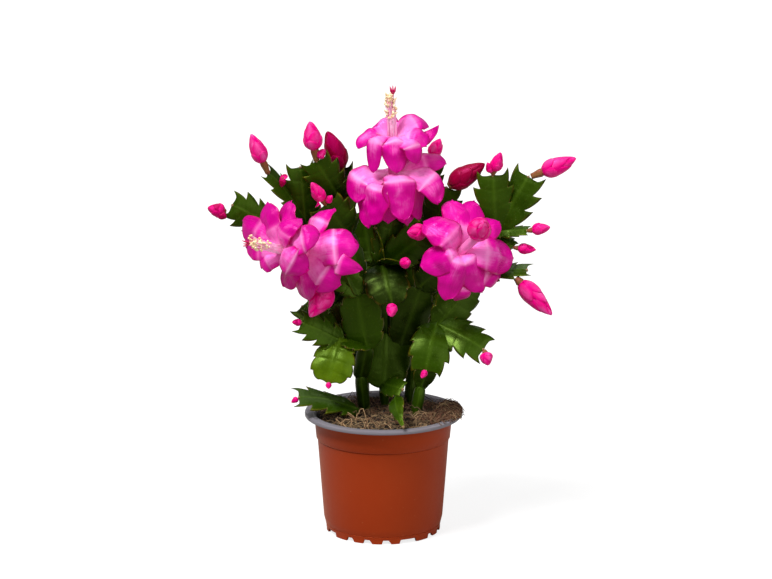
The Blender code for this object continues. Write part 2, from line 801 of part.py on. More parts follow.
def add_stamens(bloom, material, start):
    """A ring at the mouth of the flower tube with its filaments and their anthers."""
    frame = flower_frame(bloom, start)
    origin, axis, up, side = frame
    mouth = bloom.inner_height + SEAT_GAP
    outer = []
    for height, radius in ((0, 1.5), (0, 3.0), (1.4, 2.9), (1.4, 1.5)):
        angles = [2 * math.pi * k / 8 for k in range(8)]
        centre = origin + axis * (mouth + height)
        outer.append([centre + (up * math.cos(a) + side * math.sin(a)) * radius for a in angles])
    points = [p for row in outer for p in row]
    faces = []
    for row in range(4):
        for k in range(8):
            after = (k + 1) % 8
            low = row * 8
            high = (row + 1) % 4 * 8
            faces.append((low + k, low + after, high + after, high + k))
    pieces = [solid("mouth", points, faces)]
    chance = random.Random(bloom.name)
    count = 8
    for k in range(count):
        angle = 2 * math.pi * k / count + 0.2
        out = up * math.cos(angle) + side * math.sin(angle)
        reach = bloom.style_length * chance.uniform(0.55, 0.8)
        spread = chance.uniform(2.6, 5.0)
        path = [
            origin + axis * (mouth + 0.5) + out * 2.2,
            origin + axis * (mouth + reach * 0.5) + out * 2.3,
            origin + axis * (mouth + reach) + out * spread,
        ]
        pieces.append(tube("filament", path, [1.0, 1.0, 0.9], 3))
        end = path[-1] + out * 0.6 + axis * 0.8
        pieces.append(tube("anther", [path[-1] - axis * 1.2, path[-1], end], [0.8, 1.8, 0.8], 4))
    return fuse(f"{bloom.name}_stamens", pieces, material, STAMEN_KEEP)


def add_style(bloom, material, start):
    """The style in the middle of the stamens, with the lobed stigma at its tip."""
    frame = flower_frame(bloom, start)
    origin, axis, up, side = frame
    foot = bloom.inner_height + SEAT_GAP
    length = bloom.style_length
    profile = [(foot, 0.6), (foot + length * 0.8, 0.5), (foot + length * 0.9, 0.7)]
    pieces = [lathe_on(frame, "style", profile, 6)]
    for k in range(3):
        angle = 2 * math.pi * k / 3 + 0.4
        out = up * math.cos(angle) + side * math.sin(angle)
        low = origin + axis * (foot + length * 0.86)
        path = [low, low + axis * (length * 0.07) + out * 0.7, low + axis * (length * 0.14) + out * 1.1]
        pieces.append(tube("lobe", path, [0.8, 1.4, 0.7], 4))
    return fuse(f"{bloom.name}_style", pieces, material, STAMEN_KEEP)


def add_pot(material):
    """The thin pot: foot ring with notches, collar step, flange and drained floor, in one piece."""
    profile = [
        (FOOT_RADIUS - 1.6, 0.0),
        (FOOT_RADIUS, 0.0),
        (FOOT_RADIUS + 0.5, 4.9),
        (FOOT_RADIUS + 1.5, 9.0),
        (44.0, COLLAR_BOTTOM - 0.3),
        (44.9, COLLAR_BOTTOM + 0.1),
        (46.2, 78.2),
        (RIM_RADIUS, 78.9),
        (RIM_RADIUS, POT_HEIGHT - 0.5),
        (RIM_RADIUS - 0.5, POT_HEIGHT),
        (46.8, POT_HEIGHT),
        (MOUTH_RADIUS, 79.0),
        (38.0, FLOOR_TOP),
    ]
    rings = [ring(radius, z, POT_SIDES) for radius, z in profile]
    rings.insert(0, ring(FOOT_RADIUS - 1.8, 3.0, POT_SIDES))
    points, faces = skin(rings, (0, 0, 3.0), (0, 0, FLOOR_TOP))
    pot = solid("pot", points, faces)
    cutters = []
    for quarter in range(4):
        for angle, span in zip(NOTCH_ANGLES, NOTCH_SPANS):
            middle = math.radians(FIRST_NOTCH + angle + 90 * quarter)
            cutters.append(notch(middle, math.radians(span)))
    for hole in ring(DRAIN_CIRCLE, 0, DRAIN_COUNT, 36):
        x, y, z = hole
        path = [(x, y, 1.5), (x, y, FLOOR_TOP + 1)]
        cutters.append(tube("drain", path, [DRAIN_RADIUS * 2] * 2, 10))
    return combine(pot, cutters, "DIFFERENCE", material, SOLID_KEEP)


def notch(middle, span):
    """A wedge to cut from the foot ring, wider at the ground than at its top."""
    points = []
    low = span / 2
    high = low - 0.035
    for radius in (FOOT_RADIUS - 5, FOOT_RADIUS + 5):
        for angle, z in ((-low, -1), (low, -1), (high, NOTCH_HEIGHT), (-high, NOTCH_HEIGHT)):
            turn = middle + angle
            points.append((radius * math.sin(turn), -radius * math.cos(turn), z))
    faces = [(0, 1, 2, 3), (7, 6, 5, 4), (0, 4, 5, 1), (1, 5, 6, 2), (2, 6, 7, 3), (3, 7, 4, 0)]
    return solid("notch", points, faces)


def root_mat(chance):
    """The mat of roots and peat that creeps over the rim at the right."""
    angles = [math.radians(a) for a in (58, 67, 76, 85, 94, 103, 112)]
    top = []
    under = []
    for index, angle in enumerate(angles):
        swell = math.sin(math.pi * index / (len(angles) - 1))
        reach = 49.0 + 4.4 * swell + chance.uniform(-0.6, 0.6)
        rows = ((34.0, 79.0, 77.0), (44.2, 81.6 + 2.4 * swell, 77.0), (44.5, 81.7 + 2.4 * swell, 82.0))
        rows += ((reach, 83.0 + 0.9 * swell, 82.0),)
        for radius, high, low in rows:
            lump = chance.uniform(0, 0.7) if high > 80 else 0
            high = max(high + lump, low + 0.9)
            top.append((radius * math.sin(angle), -radius * math.cos(angle), high))
            under.append((radius * math.sin(angle), -radius * math.cos(angle), low))
    count = len(top)
    faces = []
    columns = 4
    for row in range(len(angles) - 1):
        for k in range(columns - 1):
            low = row * columns + k
            high = low + columns
            faces += [(low, low + 1, high + 1), (low, high + 1, high)]
    faces += [tuple(count + corner for corner in face[::-1]) for face in list(faces)]
    loop = list(range(columns))
    loop += [row * columns + columns - 1 for row in range(1, len(angles))]
    loop += [(len(angles) - 1) * columns + k for k in reversed(range(columns - 1))]
    loop += [row * columns for row in reversed(range(1, len(angles) - 1))]
    for here, after in zip(loop, loop[1:] + loop[:1]):
        faces.append((here, after, count + after))
        faces.append((here, count + after, count + here))
    return solid("root_mat", top + under, faces)


def add_soil(material):
    """The body of soil with its rough top, loose threads, the root mat and a plain hole for each root."""
    chance = random.Random("soil")
    bottom = FLOOR_TOP + SOIL_GAP
    slope = (MOUTH_RADIUS - 38.0) / (79.0 - FLOOR_TOP)
    low_radius = (38.0 - SOIL_GAP - 0.1) * math.cos(math.pi / POT_SIDES)
    high_radius = low_radius + slope * (SOIL_EDGE_Z - bottom)
    sides = 28
    rings = [ring(low_radius, bottom, sides), ring(high_radius, SOIL_EDGE_Z, sides)]
    for radius in (41, 34, 26, 18, 9):
        rise = SOIL_EDGE_Z + (SOIL_CROWN_Z - SOIL_EDGE_Z) * (1 - radius / 45) + 0.8
        rings.append([(x, y, rise + chance.uniform(-0.8, 0.8)) for x, y, z in ring(radius, 0, sides)])
    points, faces = skin(rings, None, (0, 0, SOIL_CROWN_Z + 0.6))
    pieces = [solid("soil", points, faces), root_mat(chance)]
    while len(pieces) < THREAD_COUNT + 2:
        radius = chance.uniform(6, 38)
        angle = chance.uniform(0, 2 * math.pi)
        x = radius * math.sin(angle)
        y = -radius * math.cos(angle)
        turn = chance.uniform(0, math.pi)
        reach = Vector((math.cos(turn), math.sin(turn), 0)) * chance.uniform(3, 6)
        middle = Vector((x, y, SOIL_CROWN_Z + chance.uniform(0.2, 1.2)))
        clear = [(Vector((px, py, middle.z)) - middle).length for px, py in (p.root for p in PLANTS)]
        if min(clear) < 13 or (middle + reach).to_2d().length > 42 or (middle - reach).to_2d().length > 42:
            continue
        drop = Vector((0, 0, 2.6))
        path = [middle - reach - drop, middle, middle + reach - drop]
        pieces.append(tube("thread", path, [0.8, 1.2, 0.8], 4))
    soil = fuse("soil", pieces, material)
    holes = []
    for plant in PLANTS:
        x, y = plant.root
        radius = (plant.radius + ROOT_CLEARANCE) / math.cos(math.pi / 12)
        holes.append(tube("hole", [(x, y, HOLE_BOTTOM_Z), (x, y, 90)], [radius * 2] * 2, 12))
    return combine(soil, holes, "DIFFERENCE", material, SOLID_KEEP)


def build():
    """Make every node in turn."""
    for old in list(bpy.data.objects):
        bpy.data.objects.remove(old)
    terracotta = colour("terracotta_plastic", (0.36, 0.07, 0.03), 0.5)
    peat = colour("peat", (0.035, 0.02, 0.01), 0.95)
    green = colour("leaf_green", (0.05, 0.11, 0.01), 0.4)
    magenta = colour("petal_magenta", (0.75, 0.02, 0.32), 0.5)
    bud_pink = colour("bud_magenta", (0.55, 0.005, 0.12), 0.45)
    cream = colour("stamen_cream", (0.85, 0.7, 0.5), 0.6)
    style_pink = colour("style_magenta", (0.6, 0.005, 0.15), 0.45)
    areoles = {}
    add_pot(terracotta)
    add_soil(peat)
    for plant in PLANTS:
        grow(plant, green, areoles)
    for bloom in BLOOMS:
        foot = areoles[bloom.plant, bloom.segment]
        plant = bpy.data.objects[bloom.plant]
        make = partial(petals_at, bloom, magenta)
        start = settle(make, foot, Vector(bloom.axis).normalized(), plant)
        if bloom.style_length:
            add_stamens(bloom, cream, start)
            add_style(bloom, style_pink, start)
    for bud in BUDS:
        add_bud(bud, bud_pink, areoles)
    for node in bpy.data.objects:
        node.data.transform(Matrix.Translation((-MIDDLE[0] * MM, -MIDDLE[1] * MM, 0)))
        node.data.shade_smooth()
        node.data.set_sharp_from_angle(angle=math.radians(SHARP_DEGREES))


build()
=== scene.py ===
"""Looks of a potted christmas cactus in flower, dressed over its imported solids.

Lengths in the tables are millimetres from the pot's axis: +X is right, -Y is the front and +Z is up.
"""

import json
import logging
import math
import random
from dataclasses import dataclass, field
from enum import Enum
from typing import Callable, Iterable, Iterator, Optional, Sequence, Union

import bmesh
import bpy
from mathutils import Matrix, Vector, noise

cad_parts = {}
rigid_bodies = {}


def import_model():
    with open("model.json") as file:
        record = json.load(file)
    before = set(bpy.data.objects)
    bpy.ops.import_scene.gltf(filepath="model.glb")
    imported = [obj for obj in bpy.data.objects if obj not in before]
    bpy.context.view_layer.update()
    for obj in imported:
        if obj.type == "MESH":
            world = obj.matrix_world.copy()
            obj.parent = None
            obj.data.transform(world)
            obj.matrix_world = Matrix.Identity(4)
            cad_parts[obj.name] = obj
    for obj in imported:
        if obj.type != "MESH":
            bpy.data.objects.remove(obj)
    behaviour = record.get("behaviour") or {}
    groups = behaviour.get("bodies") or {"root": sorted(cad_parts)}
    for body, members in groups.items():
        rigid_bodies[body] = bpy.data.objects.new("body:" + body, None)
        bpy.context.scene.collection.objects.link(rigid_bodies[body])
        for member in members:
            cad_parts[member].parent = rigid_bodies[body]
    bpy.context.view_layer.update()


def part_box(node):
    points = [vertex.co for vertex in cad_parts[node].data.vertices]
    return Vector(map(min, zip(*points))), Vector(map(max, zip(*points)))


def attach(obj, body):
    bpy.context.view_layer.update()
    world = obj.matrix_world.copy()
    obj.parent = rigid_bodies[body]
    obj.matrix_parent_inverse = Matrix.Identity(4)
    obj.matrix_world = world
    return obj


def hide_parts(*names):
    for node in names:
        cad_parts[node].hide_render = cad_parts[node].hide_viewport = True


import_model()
LOG = logging.getLogger("christmas_cactus")

Pair = tuple[float, float]
Point = tuple[float, float, float]
Rgb = tuple[float, float, float]
Row = Sequence[int]
Mark = tuple[Sequence[float], Pair, Pair]
SkinLine = list[tuple[Sequence[float], Sequence[float], Pair, Pair]]
Socket = bpy.types.NodeSocket
Feed = Union[float, Rgb, Socket]

MM = 0.001
FRONT: Point = (0, -1, 0)
UP: Point = (0, 0, 1)
BLACK: Rgb = (0, 0, 0)
WHITE: Rgb = (255, 255, 255)


class Side(Enum):
    """The two edges of a segment or a petal."""

    LEFT = -1
    RIGHT = 1


class Slot(Enum):
    """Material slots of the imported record."""

    POT = "terracotta_plastic"
    SOIL = "peat"
    LEAF = "leaf_green"
    PETAL = "petal_magenta"
    BUD = "bud_magenta"
    STAMEN = "stamen_cream"
    STYLE = "style_magenta"


def linear(rgb: Rgb) -> tuple[float, float, float, float]:
    """Turn a display colour into the linear colour that shaders use.

    Args:
        rgb: Red, green and blue from 0 to 255.

    Returns:
        The linear colour with full alpha.
    """
    shares = [c / 255 for c in rgb]
    flat = [s / 12.92 if s <= 0.04045 else ((s + 0.055) / 1.055) ** 2.4 for s in shares]
    return (*flat, 1.0)


def limited(value: float, low: float = 0.0, high: float = 1.0) -> float:
    """Keep a value between two limits."""
    return min(max(value, low), high)


def around(count: int) -> list[float]:
    """Angles evenly spaced round a full turn, in radians."""
    return [math.tau * k / count for k in range(count)]


def polar(radius: float, turn: float, z: float = 0.0) -> Point:
    """The place at a radius, at an angle round the pot from its front, and at a height."""
    return (radius * math.sin(turn), -radius * math.cos(turn), z)


def between(first: Sequence[float], last: Sequence[float], share: float) -> Pair:
    """The pair of numbers at a share of the way from one pair to another."""
    return tuple(a + (b - a) * share for a, b in zip(first, last))


def square_to(axis: Vector, wanted: Sequence[float]) -> Vector:
    """Give the part of a direction that lies square to an axis."""
    wanted = Vector(wanted)
    return (wanted - axis * wanted.dot(axis)).normalized()


def smooth(low: float, high: float, value: float) -> float:
    """Ease from 0 at low to 1 at high."""
    share = limited((value - low) / (high - low))
    return share * share * (3 - 2 * share)


def through(knots: Sequence[Pair], value: float) -> float:
    """Read a smooth curve through knots.

    Args:
        knots: Pairs of position and height, in rising order of position.
        value: The position to read.

    Returns:
        The height there.
    """
    last = len(knots) - 1
    value = limited(value, knots[0][0], knots[last][0])
    here = max(k for k in range(last) if knots[k][0] <= value or k == 0)
    x0, y0 = knots[here]
    x1, y1 = knots[here + 1]
    before = knots[max(here - 1, 0)]
    after = knots[min(here + 2, last)]
    share = (value - x0) / (x1 - x0)
    slope0 = (y1 - before[1]) / (x1 - before[0]) * (x1 - x0)
    slope1 = (after[1] - y0) / (after[0] - x0) * (x1 - x0)
    square = share * share
    cube = square * share
    return (
        (2 * cube - 3 * square + 1) * y0
        + (cube - 2 * square + share) * slope0
        + (3 * square - 2 * cube) * y1
        + (cube - square) * slope1
    )


@dataclass(frozen=True)
class Axes:
    """Three directions square to one another: along a part, and two across it."""

    along: Vector
    first: Vector
    second: Vector

    def out(self, angle: float, flat: float = 1.0) -> Vector:
        """The direction at an angle from the first towards the second, which may be flattened."""
        return self.first * math.cos(angle) + self.second * (math.sin(angle) * flat)


# ---- meshes


@dataclass
class MeshDraft:
    """Points and faces of one piece, in millimetres, gathered before its mesh is made.

    Every point has a span, its place across and along its part, and a tint, its tone and its kind.
    All four run from 0 to 1.
    """

    points: list[Vector] = field(default_factory=list)
    faces: list[tuple[int, ...]] = field(default_factory=list)
    spans: list[Pair] = field(default_factory=list)
    tints: list[Pair] = field(default_factory=list)
    slots: list[int] = field(default_factory=list)

    def point(self, place: Sequence[float], span: Pair, tint: Pair) -> int:
        """Add a point.

        Args:
            place: Where it is.
            span: Its place across and along its part.
            tint: Its tone and its kind.

        Returns:
            The point's number.
        """
        self.points.append(Vector(place))
        self.spans.append(span)
        self.tints.append(tint)
        return len(self.points) - 1

    def face(self, corners: Iterable[int], slot: int = 0) -> None:
        """Add a face with a material slot."""
        self.faces.append(tuple(corners))
        self.slots.append(slot)

    def bridge(self, low: Row, high: Row, closed: bool = True, slot: int = 0) -> None:
        """Join two rows of points with quads.

        Args:
            low: The first row.
            high: The second row, of the same length.
            closed: Whether the rows run round to their start.
            slot: The faces' material slot.
        """
        count = len(low)
        for k in range(count if closed else count - 1):
            after = (k + 1) % count
            self.face((low[k], low[after], high[after], high[k]), slot)

    def loft(self, rows: Sequence[Row], closed: bool = True) -> None:
        """Join each row of points to the next one."""
        for low, high in zip(rows, rows[1:]):
            self.bridge(low, high, closed)

    def fan(self, row: Row, pole: int, flip: bool = False) -> None:
        """Join a closed row of points to a single point."""
        for here, after in zip(row, [*row[1:], row[0]]):
            self.face((after, here, pole) if flip else (here, after, pole))

    def plug(self, rows: Sequence[Row], start: Mark, end: Mark) -> None:
        """Close both ends of a tube of rows with a point each."""
        self.fan(rows[0], self.point(*start), flip=True)
        self.fan(rows[-1], self.point(*end))

    def close_sheets(self, top: Sequence[Row], under: Sequence[Row]) -> None:
        """Join two grids of points, one over the other, into a closed skin.

        Args:
            top: The upper grid's rows.
            under: The lower grid's rows, of the same size.
        """
        rims = []
        for sheet in (top, under):
            self.loft(sheet, closed=False)
            rim = list(sheet[0]) + [line[-1] for line in sheet[1:]]
            rims.append(rim + list(sheet[-1][-2::-1]) + [line[0] for line in sheet[-2:0:-1]])
        self.bridge(*rims)

    def skin(self, lines: Iterable[SkinLine]) -> None:
        """Add a closed skin.

        Args:
            lines: Its lines of points, each as (place above, place below, span, tint).
        """
        sheets = ([], [])
        for line in lines:
            made = [[self.point(place, span, tint) for place in places] for *places, span, tint in line]
            for sheet, row in zip(sheets, zip(*made)):
                sheet.append(row)
        self.close_sheets(*sheets)

    def tube(
        self,
        path: Sequence[Vector],
        radii: Sequence[float],
        sides: int,
        tint: Pair,
        flat: float = 1.0,
        facing: Sequence[float] = FRONT,
    ) -> None:
        """Add a closed round tube along a path.

        Args:
            path: The tube's centre line.
            radii: Its radius at each point of the path.
            sides: How many sides it has.
            tint: Its tone and kind.
            flat: Its thickness as a share of its width.
            facing: The direction that a flattened tube faces.
        """
        rows = []
        last = len(path) - 1
        turn = Vector(facing)
        for index, (centre, radius) in enumerate(zip(path, radii)):
            along = (path[min(index + 1, last)] - path[max(index - 1, 0)]).normalized()
            if abs(along.dot(turn)) > 0.97:
                turn = Vector((0.3, 0.1, 1))
            turn = square_to(along, turn)
            axes = Axes(along, along.cross(turn), turn)
            rows.append([
                self.point(centre + axes.out(angle, flat) * radius, (k / sides, index / last), tint)
                for k, angle in enumerate(around(sides))
            ])
        self.loft(rows)
        self.plug(rows, (path[0], (0.5, 0), tint), (path[-1], (0.5, 1), tint))

    def build(
        self, name: str, finishes: "Sequence[Finish]", slot: Slot, nodes: Sequence[str] = ()
    ) -> bpy.types.Object:
        """Make the object, set it on the frame and hide the solids that it replaces.

        Args:
            name: The piece's name.
            finishes: Its finishes, in the order of the faces' slots.
            slot: The record's material slot. It is not used.
            nodes: The solids that it replaces.

        Returns:
            The finished object.
        """
        axis = pot_axis()
        mesh = bpy.data.meshes.new(name)
        mesh.from_pydata([p * MM + axis for p in self.points], [], self.faces)
        for finish in finishes:
            mesh.materials.append(finish.material())
        mesh.polygons.foreach_set("material_index", self.slots)
        corners = [0] * len(mesh.loops)
        mesh.loops.foreach_get("vertex_index", corners)
        for layer_name, marks in (("span", self.spans), ("tint", self.tints)):
            layer = mesh.uv_layers.new(name=layer_name)
            layer.uv.foreach_set("vector", [share for corner in corners for share in marks[corner]])
        cage = bmesh.new()
        cage.from_mesh(mesh)
        bmesh.ops.recalc_face_normals(cage, faces=cage.faces)
        cage.to_mesh(mesh)
        cage.free()
        mesh.shade_smooth()
        piece = bpy.data.objects.new(name, mesh)
        bpy.context.scene.collection.objects.link(piece)
        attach(piece, "root")
        if nodes:
            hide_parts(*nodes)
        LOG.info("%s: %d faces", name, len(self.faces))
        return piece


def pot_axis() -> Vector:
    """Where the pot's axis meets the ground, in metres."""
    low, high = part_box("pot")
    return Vector(((low.x + high.x) / 2, (low.y + high.y) / 2, 0))


# ---- shader graphs


class Graph:
    """A node tree with short ways to add and join nodes."""

    def __init__(self, tree: bpy.types.NodeTree, core: bpy.types.Node) -> None:
        """Take a node tree to fill, and its core: a group's inputs, or the node that makes its light."""
        self.tree = tree
        self.core = core

    def add(self, kind: str, /, settings: Optional[dict] = None, **inputs: Feed) -> bpy.types.Node:
        """Add a node.

        Args:
            kind: The node's type name without its ShaderNode prefix.
            settings: Properties of the node itself.
            inputs: What its inputs are fed with.

        Returns:
            The node.
        """
        node = self.tree.nodes.new(f"ShaderNode{kind}")
        for key, value in (settings or {}).items():
            setattr(node, key, value)
        self.feed(node, **inputs)
        return node

    def feed(self, node: bpy.types.Node, **inputs: Feed) -> None:
        """Set inputs of a node, or join sockets to them.

        Args:
            node: The node.
            inputs: Numbers, display colours or sockets by the input's name, with _ for a space, or _0 and up
                for its number.
        """
        for key, value in inputs.items():
            socket = node.inputs[int(key[1:])] if key[0] == "_" else node.inputs[key.replace("_", " ")]
            if isinstance(value, bpy.types.NodeSocket):
                self.tree.links.new(value, socket)
            else:
                socket.default_value = linear(value) if isinstance(value, tuple) else value

    def finish(self, **inputs: Feed) -> None:
        """Feed the inputs of the core."""
        self.feed(self.core, **inputs)

    def math(self, operation: str, *values: Feed, clamp: bool = False) -> Socket:
        """Add a maths node and return its result."""
        inputs = {f"_{k}": value for k, value in enumerate(values)}
        return self.add("Math", {"operation": operation, "use_clamp": clamp}, **inputs).outputs[0]

    def times(self, first: Feed, second: Feed) -> Socket:
        """Multiply two values."""
        return self.math("MULTIPLY", first, second)

    def grow(self, value: Feed, factor: Feed, shift: Feed, clamp: bool = False) -> Socket:
        """Multiply a value by a factor and add a shift."""
        return self.math("MULTIPLY_ADD", value, factor, shift, clamp=clamp)

    def mix(self, share: Feed, first: Feed, second: Feed) -> Socket:
        """Mix two colours by a share."""
        return self.add("Mix", {"data_type": "RGBA"}, _0=share, _6=first, _7=second).outputs[2]

    def spread(self, value: Feed, low: float, high: float, to_low: float = 0, to_high: float = 1) -> Socket:
        """Ease a value from one range to another."""
        ends = {"_1": low, "_2": high, "_3": to_low, "_4": to_high}
        return self.add("MapRange", {"interpolation_type": "SMOOTHSTEP"}, _0=value, **ends).outputs[0]

    def mark(self, layer: str) -> tuple[Socket, Socket]:
        """Read one of the mesh's two marks and return its two parts."""
        parts = self.add("SeparateXYZ", _0=self.add("UVMap", {"uv_map": layer}).outputs[0])
        return parts.outputs[0], parts.outputs[1]

    def place(self) -> Socket:
        """The place on the object."""
        return self.add("TexCoord").outputs["Object"]

    def group(self, effect: "Effect", **inputs: Feed) -> bpy.types.NodeOutputs:
        """Place a shared effect with its own values, and return its outputs."""
        return self.add("Group", {"node_tree": effect.tree()}, **inputs).outputs

    def bump(self, height: Socket, depth: float, strength: float = 0.5) -> Socket:
        """Raise the surface by a relief."""
        return self.add("Bump", Strength=strength, Distance=depth * MM, Height=height).outputs[0]


@dataclass(frozen=True)
class Effect:
    """A shader node group that several finishes share, built once.

    Attributes:
        name: The group's name.
        inputs: Its inputs as (name, default).
        outputs: Its outputs' names.
        fill: What fills the group: given its graph, it returns what feeds the outputs.
    """

    name: str
    inputs: tuple[tuple[str, float], ...]
    outputs: tuple[str, ...]
    fill: Callable[[Graph], Sequence[Socket]]

    def tree(self) -> bpy.types.NodeTree:
        """Build the group the first time.

        Returns:
            The group.
        """
        if self.name in bpy.data.node_groups:
            return bpy.data.node_groups[self.name]
        tree = bpy.data.node_groups.new(self.name, "ShaderNodeTree")
        for label, default in self.inputs:
            socket = tree.interface.new_socket(label, in_out="INPUT", socket_type="NodeSocketFloat")
            socket.default_value = default
        for label in self.outputs:
            tree.interface.new_socket(label, in_out="OUTPUT", socket_type="NodeSocketFloat")
        graph = Graph(tree, tree.nodes.new("NodeGroupInput"))
        graph.feed(tree.nodes.new("NodeGroupOutput"), **dict(zip(self.outputs, self.fill(graph))))
        return tree


def fill_mottle(graph: Graph) -> Sequence[Socket]:
    """Lay soft blotches over the surface.

    Args:
        graph: The group's graph.

    Returns:
        The blotches' mask.
    """
    given = graph.core.outputs
    cloud = graph.add("TexNoise", Vector=graph.place(), Scale=given["Scale"], Detail=4.0, Roughness=0.6)
    centred = graph.math("SUBTRACT", cloud.outputs[0], 0.5)
    return [graph.grow(centred, given["Contrast"], 0.5, clamp=True)]


def fill_specks(graph: Graph) -> Sequence[Socket]:
    """Scatter small spots of uneven strength.

    Args:
        graph: The group's graph.

    Returns:
        The spots' mask.
    """
    given = graph.core.outputs
    cells = graph.add("TexVoronoi", Vector=graph.place(), Scale=given["Scale"])
    chance = graph.add("SeparateColor", _0=cells.outputs["Color"]).outputs
    near = graph.spread(cells.outputs["Distance"], 0.1, 0.3, 1.0, 0.0)
    chosen = graph.math("LESS_THAN", chance[0], given["Share"])
    return [graph.times(graph.times(near, chosen), chance[1])]


def fill_grain(graph: Graph) -> Sequence[Socket]:
    """Raise a fine skin relief over a slower swell.

    Args:
        graph: The group's graph.

    Returns:
        The relief's height.
    """
    given = graph.core.outputs
    place = graph.place()
    fine = graph.add("TexNoise", Vector=place, Scale=given["Scale"], Detail=3.0, Roughness=0.65)
    slow = graph.add("TexNoise", Vector=place, Scale=graph.times(given["Scale"], 0.12), Detail=2.0)
    return [graph.math("ADD", fine.outputs[0], graph.times(slow.outputs[0], given["Swell"]))]


def fill_margin(graph: Graph) -> Sequence[Socket]:
    """Find how near a point is to the edge of its part, and how near to its middle line.

    Args:
        graph: The group's graph.

    Returns:
        The nearness to the edge and to the middle.
    """
    given = graph.core.outputs
    off = graph.math("ABSOLUTE", graph.grow(graph.mark("span")[0], 2.0, -1.0))
    inner = graph.math("SUBTRACT", 1.0, given["Width"])
    rise = graph.math("DIVIDE", graph.math("SUBTRACT", off, inner), given["Width"], clamp=True)
    fall = graph.math("DIVIDE", off, given["Rib"], clamp=True)
    return [graph.times(rise, rise), graph.math("SUBTRACT", 1.0, fall)]


def fill_streaks(graph: Graph) -> Sequence[Socket]:
    """Draw fine veins that run along a part, and differ from one part's tone to another's.

    Args:
        graph: The group's graph.

    Returns:
        The veins' mask.
    """
    across, along = graph.mark("span")
    wide = graph.times(across, graph.core.outputs["Count"])
    seed = graph.times(graph.mark("tint")[0], 37.0)
    place = graph.add("CombineXYZ", _0=wide, _1=graph.times(along, 1.6), _2=seed).outputs[0]
    threads = graph.add("TexNoise", Vector=place, Scale=1.0, Detail=2.0, Roughness=0.7)
    return [graph.spread(threads.outputs[0], 0.35, 0.65)]


MOTTLE = Effect("soft_mottle", (("Scale", 60.0), ("Contrast", 2.0)), ("Mask",), fill_mottle)
SPECKS = Effect("fine_specks", (("Scale", 900.0), ("Share", 0.3)), ("Mask",), fill_specks)
GRAIN = Effect("skin_grain", (("Scale", 1500.0), ("Swell", 1.0)), ("Height",), fill_grain)
MARGIN = Effect("edge_and_rib", (("Width", 0.2), ("Rib", 0.1)), ("Edge", "Middle"), fill_margin)
STREAKS = Effect("long_veins", (("Count", 30.0),), ("Mask",), fill_streaks)


@dataclass(frozen=True)
class Finish:
    """What every finish has: a name, a base roughness and a way to make its material once."""

    name: str
    roughness: float = 0.5

    def material(self) -> bpy.types.Material:
        """Make the material the first time.

        Returns:
            The material.
        """
        if self.name in bpy.data.materials:
            return bpy.data.materials[self.name]
        material = bpy.data.materials.new(self.name)
        material.use_nodes = True
        graph = Graph(material.node_tree, material.node_tree.nodes["Principled BSDF"])
        graph.finish(Roughness=self.roughness)
        self.dress(graph)
        return material

    def dress(self, graph: Graph) -> None:
        """Join the finish's own nodes to the shader."""


@dataclass(frozen=True)
class LeafFinish(Finish):
    """Waxy green stem skin: tone by segment, paler rib and pores, reddish edges. The paler rib is partly its
    own colour and partly a painted soft highlight along the middle.
    """

    dark: Rgb = (8, 18, 0)
    mid: Rgb = (36, 60, 0)
    light: Rgb = (86, 112, 8)
    # The rib's colour: partly its own paler green, partly a painted soft highlight
    rib: Rgb = (84, 116, 26)
    edge: Rgb = (132, 104, 24)
    pore: Rgb = (134, 152, 88)
    bark: Rgb = (104, 100, 52)
    gleam: Rgb = (208, 255, 112)

    def dress(self, graph: Graph) -> None:
        """Join the skin's own nodes to the shader.

        Args:
            graph: The material's graph.
        """
        tone, kind = graph.mark("tint")
        blotch = graph.group(MOTTLE, Scale=70.0, Contrast=2.6)[0]
        level = graph.math("SUBTRACT", graph.grow(blotch, 0.22, tone), 0.16)
        level = graph.grow(graph.mark("span")[1], 0.1, level, clamp=True)
        low = graph.mix(graph.spread(level, 0.0, 0.5), self.dark, self.mid)
        green = graph.mix(graph.spread(level, 0.5, 1.0), low, self.light)
        margin = graph.group(MARGIN, Width=0.07, Rib=0.22)
        # A paler band along the rib: partly its own colour, partly a painted soft highlight
        ribbed = graph.mix(graph.times(margin["Middle"], 0.2), green, self.rib)
        pores = graph.group(SPECKS, Scale=1150.0, Share=0.3)[0]
        pored = graph.mix(graph.times(pores, 0.34), ribbed, self.pore)
        worn = graph.group(MOTTLE, Scale=210.0, Contrast=4.0)[0]
        rim = graph.times(margin["Edge"], graph.times(worn, 0.62))
        edged = graph.mix(rim, pored, self.edge)
        dull = graph.grow(blotch, 0.16, self.roughness - 0.06)
        veins = graph.group(STREAKS, Count=26.0)[0]
        relief = graph.group(GRAIN, Scale=1100.0, Swell=5.0)[0]
        graph.finish(
            Base_Color=graph.mix(kind, edged, self.bark),
            Roughness=graph.grow(pores, 0.2, dull),
            Normal=graph.bump(graph.grow(veins, 0.25, relief), 0.1, 0.42),
            Specular_IOR_Level=0.4,
            Specular_Tint=self.gleam,
        )


